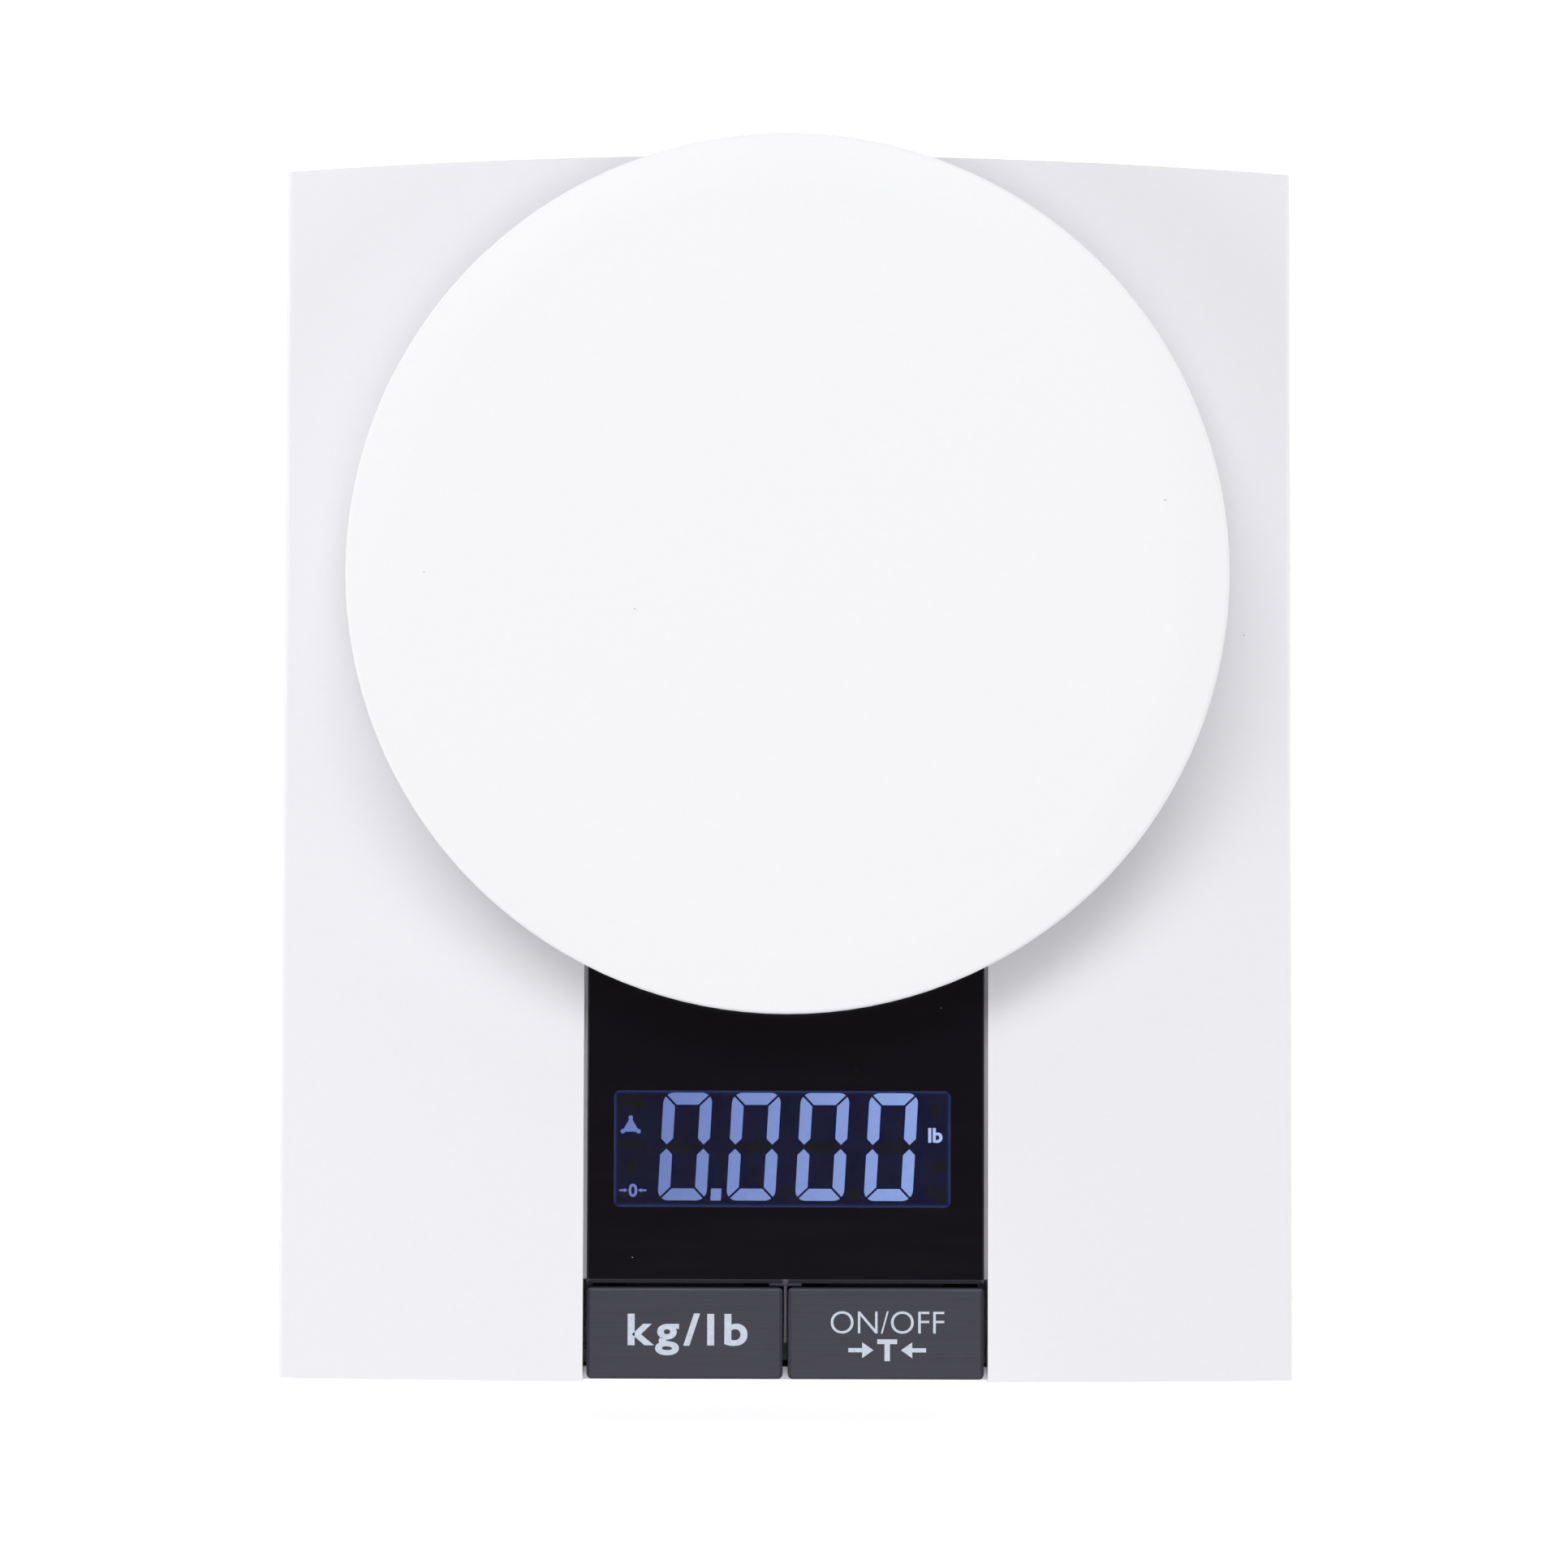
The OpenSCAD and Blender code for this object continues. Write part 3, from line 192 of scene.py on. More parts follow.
class WorksSettings(bpy.types.PropertyGroup):
    """Pieces inside the case and underneath."""

    board_colour: colour_setting("Board", "Green of the circuit board", (26, 62, 40))
    alloy_colour: colour_setting("Alloy", "Milled load cell", (205, 206, 208))
    gauge_colour: colour_setting("Gauge coating", "White coating on the load cell", (236, 236, 232))
    steel_colour: colour_setting("Steel", "Zinc-plated screws and plate", (188, 190, 196))
    resin_colour: colour_setting("Resin", "Black resin of the chip and plungers", (34, 34, 36))
    switch_colour: colour_setting("Switches", "Switches and small parts", (72, 73, 77))
    socket_colour: colour_setting("Sockets", "Ivory sockets on the board", (238, 232, 212))
    cable_colour: colour_setting("Cable", "Sleeve of the load cell's cable", (88, 88, 92))
    nickel_colour: colour_setting("Nickel", "Battery contacts", (206, 200, 188))
    jacket_colour: colour_setting("Jacket", "Plain jacket of the battery cells", (70, 73, 80))
    band_colour: colour_setting("Band", "Paler end of the battery cells' jacket", (176, 122, 62))
    lead_colour: colour_setting("Leads", "Insulation of the battery leads", (170, 30, 28))
    foot_colour: colour_setting("Feet", "Grey rubber of the feet", (150, 150, 151))
    foot_edge_r: length_setting("Foot edges", "Rounding of the feet's edges", 0.3)


# Shader building

# Sockets of the colour mixing node, which has several of the same name
MIX_FIRST = 6
MIX_SECOND = 7
MIX_RESULT = 2


def new_material(name):
    """A material with its node tree and its main shader."""
    material = bpy.data.materials.new(name)
    material.use_nodes = True
    tree = material.node_tree
    return material, tree, tree.nodes["Principled BSDF"]


def feed(tree, socket, value):
    """Links another node's output to a socket, or sets the socket to a plain value."""
    if isinstance(value, bpy.types.NodeSocket):
        tree.links.new(value, socket)
    else:
        socket.default_value = value


def add(tree, kind, settings=None, **sockets):
    """A shader node of one kind, with its settings and with values or links on its sockets."""
    node = tree.nodes.new("ShaderNode" + kind)
    for key, value in (settings or {}).items():
        setattr(node, key, value)
    for key, value in sockets.items():
        feed(tree, node.inputs[key.replace("_", " ")], value)
    return node


def places(tree):
    """Coordinates in metres in the part's frame, so that a grain has one size on every piece."""
    return add(tree, "TexCoord").outputs["Object"]


def noise(tree, place, per_metre, detail=2):
    """Cloudy values from 0 to 1, with a given number of clouds to the metre."""
    return add(tree, "TexNoise", Vector=place, Scale=per_metre, Detail=detail).outputs["Fac"]


def drawn_noise(tree, place, per_metre, detail=3):
    """Cloudy values that run one way, with a number of clouds to the metre for each axis."""
    drawn = add(tree, "Mapping", Vector=place, Scale=per_metre).outputs["Vector"]
    return noise(tree, drawn, per_metre=1, detail=detail)


def ranged(tree, value, low, high, start=0.25, stop=0.75):
    """Values from low to high, as the input goes from start to stop."""
    node = add(tree, "MapRange", From_Min=start, From_Max=stop, To_Min=low, To_Max=high)
    feed(tree, node.inputs["Value"], value)
    return node.outputs["Result"]


def sums(tree, operation, first, second=0.0):
    """One step of arithmetic."""
    node = add(tree, "Math", {"operation": operation})
    feed(tree, node.inputs[0], first)
    feed(tree, node.inputs[1], second)
    return node.outputs["Value"]


def mixed(tree, factor, first, second):
    """Colour between two others."""
    node = add(tree, "Mix", {"data_type": "RGBA"})
    feed(tree, node.inputs["Factor"], factor)
    feed(tree, node.inputs[MIX_FIRST], first)
    feed(tree, node.inputs[MIX_SECOND], second)
    return node.outputs[MIX_RESULT]


def solid(colour, share=1.0):
    """A colour with its alpha, made darker or lighter by a share."""
    return (*(min(1.0, channel * share) for channel in colour), 1.0)


def toned(tree, pattern, colour, darkest, palest):
    """A colour that follows a pattern from its darkest to its palest share."""
    share = ranged(tree, pattern, 0.0, 1.0)
    return mixed(tree, share, solid(colour, darkest), solid(colour, palest))


def colour_drift(tree, place, colour, per_metre, spread):
    """A colour that drifts a little darker and lighter."""
    return toned(tree, noise(tree, place, per_metre), colour, 1 - spread, 1 + spread)


def graded(tree, place, left, right, low, high):
    """A colour that changes from the left end of a box to its right end."""
    axes = add(tree, "SeparateXYZ", Vector=place)
    share = ranged(tree, axes.outputs["X"], 0.0, 1.0, low.x, high.x)
    return mixed(tree, share, solid(left), solid(right))


def specks(tree, place, per_metre, radius):
    """1 on scattered specks of a given radius in metres, and 0 elsewhere."""
    cells = add(tree, "TexVoronoi", Vector=place, Scale=per_metre)
    return sums(tree, "LESS_THAN", cells.outputs["Distance"], radius * per_metre)


def beyond(tree, place, low, high):
    """How far a point lies outside a box in plan, and below zero inside it."""
    axes = add(tree, "SeparateXYZ", Vector=place)
    middle = (low + high) / 2
    half = (high - low) / 2
    outside = []
    for axis, centre, reach in (("X", middle.x, half.x), ("Y", middle.y, half.y)):
        offset = sums(tree, "ABSOLUTE", sums(tree, "SUBTRACT", axes.outputs[axis], centre))
        outside.append(sums(tree, "SUBTRACT", offset, reach))
    return sums(tree, "MAXIMUM", *outside)


def rim_of(tree, place, low, high, width):
    """0 in the middle of a box, rising to 1 at its edge in plan over a given width."""
    edge = beyond(tree, place, low, high)
    return sums(tree, "POWER", ranged(tree, edge, 0.0, 1.0, -width, 0.0), 2.0)


def paint(tree, shader, colour):
    """Gives a finish its colour."""
    feed(tree, shader.inputs["Base Color"], colour)


def roughen(tree, shader, pattern, smoothest, roughest):
    """Gives a finish a roughness that follows a pattern."""
    feed(tree, shader.inputs["Roughness"], ranged(tree, pattern, smoothest, roughest))


def relief(tree, shader, height, depth):
    """Gives a finish fine bumps of a given depth in metres."""
    bump = add(tree, "Bump", Strength=1.0, Distance=depth, Height=height)
    tree.links.new(bump.outputs["Normal"], shader.inputs["Normal"])


def recolour(material, colour, low, high):
    """Gives a finish another colour inside a box in plan."""
    tree = material.node_tree
    socket = tree.nodes["Principled BSDF"].inputs["Base Color"]
    plain = socket.links[0].from_socket
    inside = sums(tree, "LESS_THAN", beyond(tree, places(tree), low, high), 0.0)
    feed(tree, socket, mixed(tree, inside, plain, solid(colour)))


# Finishes

MOULDING_IOR = 1.5
ACRYLIC_IOR = 1.49
CLEAR_TINT = (0.97, 0.98, 1.0, 1.0)

# Dark body of the display under the light that it gives
DISPLAY_BODY = (0.004, 0.004, 0.006, 1.0)
DISPLAY_ROUGHNESS = 0.35
DISPLAY_SPECULAR = 0.1

# Most that the clouds on the display change its tone
CLOUDING = 0.12

# Web of copper tracks: its cells to the metre, and half a track's width as a share of a cell
TRACKS_PER_METRE = 260
TRACK_SHARE = 0.06


def gloss_moulding(name, colour, dust, roughness):
    """Gloss or satin moulding: a soft orange-peel skin, an even tone and a few specks of dust."""
    material, tree, shader = new_material(name)
    place = places(tree)
    clean = colour_drift(tree, place, colour, per_metre=900, spread=0.006)
    dusty = specks(tree, place, per_metre=90, radius=0.12 * MM)
    paint(tree, shader, mixed(tree, dusty, clean, solid(dust)))
    smear = noise(tree, place, per_metre=35, detail=4)
    roughen(tree, shader, smear, smoothest=0.9 * roughness, roughest=1.1 * roughness)
    shader.inputs["IOR"].default_value = MOULDING_IOR
    relief(tree, shader, noise(tree, place, per_metre=420), depth=0.004 * MM)
    return material


def matt_moulding(name, colour, roughness=0.55):
    """Spark-eroded matt moulding: a fine even grain, with the tone drifting a little."""
    material, tree, shader = new_material(name)
    place = places(tree)
    paint(tree, shader, colour_drift(tree, place, colour, per_metre=40, spread=0.02))
    pits = noise(tree, place, per_metre=2600, detail=3)
    roughen(tree, shader, pits, smoothest=0.85 * roughness, roughest=1.15 * roughness)
    relief(tree, shader, pits, depth=0.02 * MM)
    return material


def polished_black(name, colour, dust):
    """Black gloss sheet with faint wiping marks and a little dust."""
    material, tree, shader = new_material(name)
    place = places(tree)
    dusty = specks(tree, place, per_metre=240, radius=0.1 * MM)
    paint(tree, shader, mixed(tree, dusty, solid(colour), solid(dust)))
    wipes = drawn_noise(tree, place, per_metre=(30, 240, 30), detail=5)
    roughen(tree, shader, wipes, smoothest=0.04, roughest=0.11)
    shader.inputs["IOR"].default_value = ACRYLIC_IOR
    relief(tree, shader, noise(tree, place, per_metre=60), depth=0.002 * MM)
    return material


def clear_sheet(name):
    """Clear polished window with faint wiping marks."""
    material, tree, shader = new_material(name)
    shader.inputs["Base Color"].default_value = CLEAR_TINT
    shader.inputs["Transmission Weight"].default_value = 1.0
    shader.inputs["IOR"].default_value = ACRYLIC_IOR
    wipes = drawn_noise(tree, places(tree), per_metre=(40, 300, 40), detail=5)
    roughen(tree, shader, wipes, smoothest=0.0, roughest=0.04)
    return material


def glow(tree, shader, colour):
    """Lets a surface shine by itself in a colour, with a dark body under it."""
    feed(tree, shader.inputs["Emission Color"], colour)
    shader.inputs["Emission Strength"].default_value = 1.0
    shader.inputs["Base Color"].default_value = DISPLAY_BODY
    shader.inputs["Roughness"].default_value = DISPLAY_ROUGHNESS
    shader.inputs["Specular IOR Level"].default_value = DISPLAY_SPECULAR


def display_ground(name, s, low, high):
    """Dark display ground, lit a little from behind, and a paler rim of painted reflection at its
    edge.
    """
    material, tree, shader = new_material(name)
    place = places(tree)
    ground = graded(tree, place, s.ground_left, s.ground_right, low, high)
    cloud = ranged(tree, noise(tree, place, per_metre=220, detail=3), 0.0, CLOUDING)
    uneven = mixed(tree, cloud, ground, solid(s.cloud_and_reflection_colour, share=0.5))
    # Painted reflection: the window's edge glows as a paler rim
    rim = rim_of(tree, place, low, high, s.reflection_w)
    glow(tree, shader, mixed(tree, rim, uneven, solid(s.cloud_and_reflection_colour)))
    return material


def display_mark(name, left, right, low, high):
    """Segment or sign of the display, with a tone that changes from left to right."""
    material, tree, shader = new_material(name)
    place = places(tree)
    tone = graded(tree, place, left, right, low, high)
    cloud = ranged(tree, noise(tree, place, per_metre=900, detail=3), 0.0, CLOUDING)
    glow(tree, shader, mixed(tree, cloud, tone, solid(left, share=0.55)))
    return material


def hairline(name, colour, roughness=0.38):
    """Dark plastic with fine hairlines that run from side to side."""
    material, tree, shader = new_material(name)
    lines = drawn_noise(tree, places(tree), per_metre=(55, 6500, 55))
    paint(tree, shader, toned(tree, lines, colour, darkest=0.78, palest=1.25))
    roughen(tree, shader, lines, smoothest=0.85 * roughness, roughest=1.2 * roughness)
    relief(tree, shader, lines, depth=0.012 * MM)
    return material


def print_ink(name, colour):
    """Pad-printed ink with a slightly patchy cover."""
    material, tree, shader = new_material(name)
    patches = noise(tree, places(tree), per_metre=2200, detail=4)
    paint(tree, shader, toned(tree, patches, colour, darkest=0.82, palest=1.04))
    roughen(tree, shader, patches, smoothest=0.45, roughest=0.65)
    relief(tree, shader, patches, depth=0.004 * MM)
    return material


def metal(name, colour, roughness, per_metre):
    """Bare or plated metal, with a number of fine marks to the metre for each axis."""
    material, tree, shader = new_material(name)
    marks = drawn_noise(tree, places(tree), per_metre)
    paint(tree, shader, toned(tree, marks, colour, darkest=0.86, palest=1.08))
    shader.inputs["Metallic"].default_value = 1.0
    roughen(tree, shader, marks, smoothest=0.75 * roughness, roughest=1.3 * roughness)
    relief(tree, shader, marks, depth=0.006 * MM)
    return material


def rubber(name, colour, roughness=0.72):
    """Soft rubber or sleeve with a dull, slightly dusty skin."""
    material, tree, shader = new_material(name)
    place = places(tree)
    paint(tree, shader, colour_drift(tree, place, colour, per_metre=120, spread=0.06))
    skin = noise(tree, place, per_metre=1500, detail=4)
    roughen(tree, shader, skin, smoothest=0.9 * roughness, roughest=1.1 * roughness)
    relief(tree, shader, skin, depth=0.02 * MM)
    return material


def board_lacquer(name, colour):
    """Green lacquer over a web of copper tracks, which stand up a little."""
    material, tree, shader = new_material(name)
    place = places(tree)
    edges = {"feature": "DISTANCE_TO_EDGE"}
    web = add(tree, "TexVoronoi", edges, Vector=place, Scale=TRACKS_PER_METRE)
    track = sums(tree, "LESS_THAN", web.outputs["Distance"], TRACK_SHARE)
    lacquer = colour_drift(tree, place, colour, per_metre=60, spread=0.08)
    paint(tree, shader, mixed(tree, track, lacquer, solid(colour, share=1.7)))
    roughen(tree, shader, noise(tree, place, per_metre=300), smoothest=0.25, roughest=0.4)
    relief(tree, shader, track, depth=0.03 * MM)
    return material


def cell_jacket(name, jacket, band, start, stop):
    """Gloss jacket of a battery cell, with a paler band at one end."""
    material, tree, shader = new_material(name)
    place = places(tree)
    along = add(tree, "SeparateXYZ", Vector=place).outputs["Y"]
    banded = ranged(tree, along, 0.0, 1.0, start, stop)
    scuffs = noise(tree, place, per_metre=350, detail=4)
    scuffed = ranged(tree, scuffs, low=0.0, high=0.3)
    body = mixed(tree, scuffed, solid(jacket), solid(jacket, share=1.5))
    paint(tree, shader, mixed(tree, banded, body, solid(band)))
    shader.inputs["Metallic"].default_value = 0.6
    roughen(tree, shader, scuffs, smoothest=0.22, roughest=0.4)
    return material


# Pieces and edges

# Points of a node, or of a thin mark, that are nearer than this are one point
SAME_POINT = 0.001 * MM
SAME_POINT_OF_MARKS = 0.0005 * MM

# Faces that turn by less than the first angle are one, and edges over the second are rounded
FLAT_ANGLE = math.radians(0.5)
SHARP_ANGLE = math.radians(35)
EDGE_STEPS = 3

# Letters are drawn one unit thick, with some steps to each curve, and then fitted to their box
LETTER_HALF = 0.5
LETTER_STEPS = 6

# Share of an arrow's length that its head takes
ARROW_HEAD = 0.45


def dress(names, material, edge=0.0):
    """Gives CAD nodes their finish, and rounds their sharp edges where an edge is given."""
    for name in names:
        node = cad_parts[name]
        node.material_slots[0].material = material
        if edge:
            soften(node, edge)


def soften(node, edge):
    """Joins a node's split corners, clears its flat faces and rounds its sharp edges."""
    weld = node.modifiers.new("Joined corners", "WELD")
    weld.merge_threshold = SAME_POINT
    flat = node.modifiers.new("Flat faces", "DECIMATE")
    flat.decimate_type = "DISSOLVE"
    flat.angle_limit = FLAT_ANGLE
    flat.delimit = {"SHARP"}
    bevel = node.modifiers.new("Round edges", "BEVEL")
    bevel.width = edge
    bevel.segments = EDGE_STEPS
    bevel.limit_method = "ANGLE"
    bevel.angle_limit = SHARP_ANGLE
    bevel.harden_normals = True
    bevel.miter_outer = "MITER_ARC"


def arc(centre, radius, start, stop, steps=8):
    """Points on an arc, with the angles in degrees."""
    angles = [math.radians(start + (stop - start) * i / steps) for i in range(steps + 1)]
    return [(centre[0] + radius * math.cos(a), centre[1] + radius * math.sin(a)) for a in angles]


def add_slab(work, outline, low, high):
    """Adds a closed plate with an outline that runs anticlockwise."""
    floor = [work.verts.new((x, y, low)) for x, y in outline]
    roof = [work.verts.new((x, y, high)) for x, y in outline]
    work.faces.new(roof)
    work.faces.new(floor[::-1])
    for i, corner in enumerate(floor):
        after = (i + 1) % len(floor)
        work.faces.new((corner, floor[after], roof[after], roof[i]))


def add_lettering(work, text, low, high, weight=0.0, spacing=1.0):
    """Adds raised letters that fill a box, with a weight that thickens their strokes."""
    curve = bpy.data.curves.new("lettering", "FONT")
    curve.body = text
    curve.extrude = LETTER_HALF
    curve.offset = weight
    curve.space_character = spacing
    curve.resolution_u = LETTER_STEPS
    helper = bpy.data.objects.new("lettering", curve)
    bpy.context.scene.collection.objects.link(helper)
    made = helper.evaluated_get(bpy.context.evaluated_depsgraph_get())
    mesh = bpy.data.meshes.new_from_object(made)
    corners = [vertex.co.copy() for vertex in mesh.vertices]
    if not corners:
        raise RuntimeError("no letters were made for " + text)
    first = Vector([min(c[axis] for c in corners) for axis in range(3)])
    last = Vector([max(c[axis] for c in corners) for axis in range(3)])
    for vertex in mesh.vertices:
        for axis in range(3):
            share = (vertex.co[axis] - first[axis]) / (last[axis] - first[axis])
            vertex.co[axis] = low[axis] + share * (high[axis] - low[axis])
    work.from_mesh(mesh)
    bpy.data.objects.remove(helper)
    bpy.data.curves.remove(curve)
    bpy.data.meshes.remove(mesh)


def object_from(work, name, material):
    """Turns collected faces into an object with one finish."""
    mesh = bpy.data.meshes.new(name)
    work.to_mesh(mesh)
    work.free()
    mesh.materials.append(material)
    made = bpy.data.objects.new(name, mesh)
    bpy.context.scene.collection.objects.link(made)
    return made


def finish_piece(work, name, material, body):
    """Turns collected plates and letters into one piece that rides on a body."""
    bmesh.ops.remove_doubles(work, verts=work.verts, dist=SAME_POINT_OF_MARKS)
    bmesh.ops.recalc_face_normals(work, faces=work.faces)
    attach(object_from(work, name, material), body)


def arrow(tip, sizes, way):
    """Outline of an arrow with its tip at a point, pointing right (1) or left (-1)."""
    length, half, shaft = (size * MM for size in sizes)
    head = length * ARROW_HEAD
    points = [
        (0, 0), (-head, half), (-head, shaft), (-length, shaft),
        (-length, -shaft), (-head, -shaft), (-head, -half),
    ]
    outline = [(tip[0] + way * x, tip[1] + y) for x, y in points]
    return outline if way > 0 else outline[::-1]


def knobbed(corners, radius, inset):
    """Outline of a shape whose corners, given anticlockwise, are small discs."""
    outline = []
    reach = math.sqrt(radius ** 2 - inset ** 2)
    lean = math.degrees(math.atan2(inset, reach))
    count = len(corners)
    for i, corner in enumerate(corners):
        before = Vector(corner) - Vector(corners[i - 1])
        after = Vector(corners[(i + 1) % count]) - Vector(corner)
        start = math.degrees(math.atan2(-before.y, -before.x)) + lean
        stop = math.degrees(math.atan2(after.y, after.x)) - lean
        while stop < start:
            stop += 360
        outline += arc(corner, radius, start, stop)
    return outline


# Figures of the display

# Segments that each figure lights: a to f run clockwise from the top, and g is in the middle
SEGMENTS = {
    "0": "abcdef", "1": "bc", "2": "abdeg", "3": "abcdg", "4": "bcfg",
    "5": "acdfg", "6": "acdefg", "7": "abc", "8": "abcdefg", "9": "abcdfg", " ": "", "-": "g",
}

# Half the middle segment's width and the decimal point's side, as shares of the stroke
MIDDLE_HALF = 0.46
POINT_SIDE = 0.87

# Distance of the decimal point from the middle between two figures, to the left, in millimetres
POINT_SHIFT = 0.1

# Places of the signs on the display in millimetres, from the window's front left corner.
# A box gives its left, front, right and rear edge. An arrow is given by its tip and its way, and
# its sizes are its length, half the width of its head and half the width of its shaft.
STEADY_CORNERS = ((1.42, 12.85), (4.12, 12.85), (2.77, 15.18))
STEADY_KNOB = 0.4
STEADY_INSET = 0.08
ZERO_ARROWS = {2.3: 1, 4.05: -1}
ZERO_ARROW_Y = 2.75
ZERO_ARROW_SIZES = (1.45, 0.38, 0.16)
LIT_LETTERS = {"0": (2.45, 1.6, 3.95, 3.88), "lb": (53.84, 11.0, 56.3, 13.55)}
UNLIT_LETTERS = {
    "g": (54.1, 15.4, 55.9, 17.8), "oz": (54.0, 6.0, 57.1, 7.8), "kg": (53.9, 0.9, 57.1, 4.0),
}
UNLIT_FIELDS = ((0.95, 16.8, 5.3, 18.7), (0.95, 9.9, 4.65, 11.3))
UNLIT_RING = (3.1, 6.95)
UNLIT_RING_R = 1.0
RING_POINTS = 12
SIGN_WEIGHT = 0.03
UNLIT_WEIGHT = 0.05


def on_window(low, x, y):
    """A point on the display, from the window's lowest corner and a place in millimetres."""
    return (low.x + x * MM, low.y + y * MM)


def on_levels(low, box, base, roof):
    """Lowest and highest corner of a sign on the display."""
    left, front, right, rear = box
    return (*on_window(low, left, front), base), (*on_window(low, right, rear), roof)


def segment_outlines(s):
    """Outlines of the seven segments of one upright figure, with its foot at the origin."""
    width, height, stroke, corner = s.digit_w, s.digit_h, s.stroke, s.corner_r
    mitre = s.segment_gap / math.sqrt(2)
    turn = math.degrees(s.segment_gap / 2 / corner)
    point = height / 2 + s.segment_gap
    left = (corner, height - corner)
    right = (width - corner, height - corner)
    top = [(stroke + mitre, height - stroke), (width - stroke - mitre, height - stroke)]
    top += arc(right, corner, 45 + turn, 90) + arc(left, corner, 90, 135 - turn)
    upper_left = arc(left, corner, 135 + turn, 180)
    upper_left += [(0, point + stroke / 2), (stroke / 2, point), (stroke, point + stroke / 2)]
    upper_left += [(stroke, height - stroke - mitre)]
    bar = MIDDLE_HALF * stroke
    middle = [
        (stroke / 2 + mitre, height / 2), (stroke + mitre, height / 2 - bar),
        (width - stroke - mitre, height / 2 - bar), (width - stroke / 2 - mitre, height / 2),
        (width - stroke - mitre, height / 2 + bar), (stroke + mitre, height / 2 + bar),
    ]

    def sideways(outline):
        return [(width - x, y) for x, y in reversed(outline)]

    def over(outline):
        return [(x, height - y) for x, y in reversed(outline)]

    return {
        "a": top, "d": over(top), "f": upper_left, "b": sideways(upper_left),
        "e": over(upper_left), "c": over(sideways(upper_left)), "g": middle,
    }


def point_outline(s):
    """Outline of the decimal point beside a figure with its foot at the origin."""
    side = POINT_SIDE * s.stroke
    start = s.digit_w + (s.digit_pitch - s.digit_w - side) / 2 - POINT_SHIFT * MM
    return [(start, 0), (start + side, 0), (start + side, s.stroke), (start, s.stroke)]


def split_readout(text):
    """Pairs of a figure and whether a decimal point follows it."""
    figures = []
    for sign in text:
        if sign == "." and figures:
            figures[-1] = (figures[-1][0], True)
        elif sign in SEGMENTS:
            figures.append((sign, False))
        else:
            raise ValueError("the display cannot show " + sign)
    return figures


# Print on the keys

# Places in millimetres in the part's frame, with boxes and arrows given as on the display
UNIT_PRINT = (-26.96, -101.9, -6.45, -94.76)
POWER_PRINT = (7.77, -98.11, 27.21, -94.3)
TARE_PRINT = (15.75, -102.79, 19.15, -99.07)
TARE_ARROWS = {15.1: 1, 19.8: -1}
TARE_ARROW_Y = -100.93
TARE_ARROW_SIZES = (4.3, 1.35, 0.36)

# Weights of the letters, and the wider spacing of the unit signs
THIN = -0.008
BOLD = 0.024
EXTRA_BOLD = 0.04
UNIT_SPACING = 1.25


def print_box(box, levels):
    """Lowest and highest corner of a line of print on a key."""
    left, front, right, rear = (edge * MM for edge in box)
    return (left, front, levels[0]), (right, rear, levels[1])


# Studio, in metres apart from the camera's sensor in millimetres

SENSOR_W = 36
FLOOR_SIDES = 96
SOFTBOX_SIDE = 1.8
LAMP_DISTANCE = 4.0

# Distances from the part between which the light that the seen floor adds rises to white
GLOW_START = 0.4
GLOW_STOP = 1.2

# Heights, as the sine of the angle of view, at which the walls end and the ceiling has its tone
WALL_TOP = 0.5
CEILING_START = 0.62


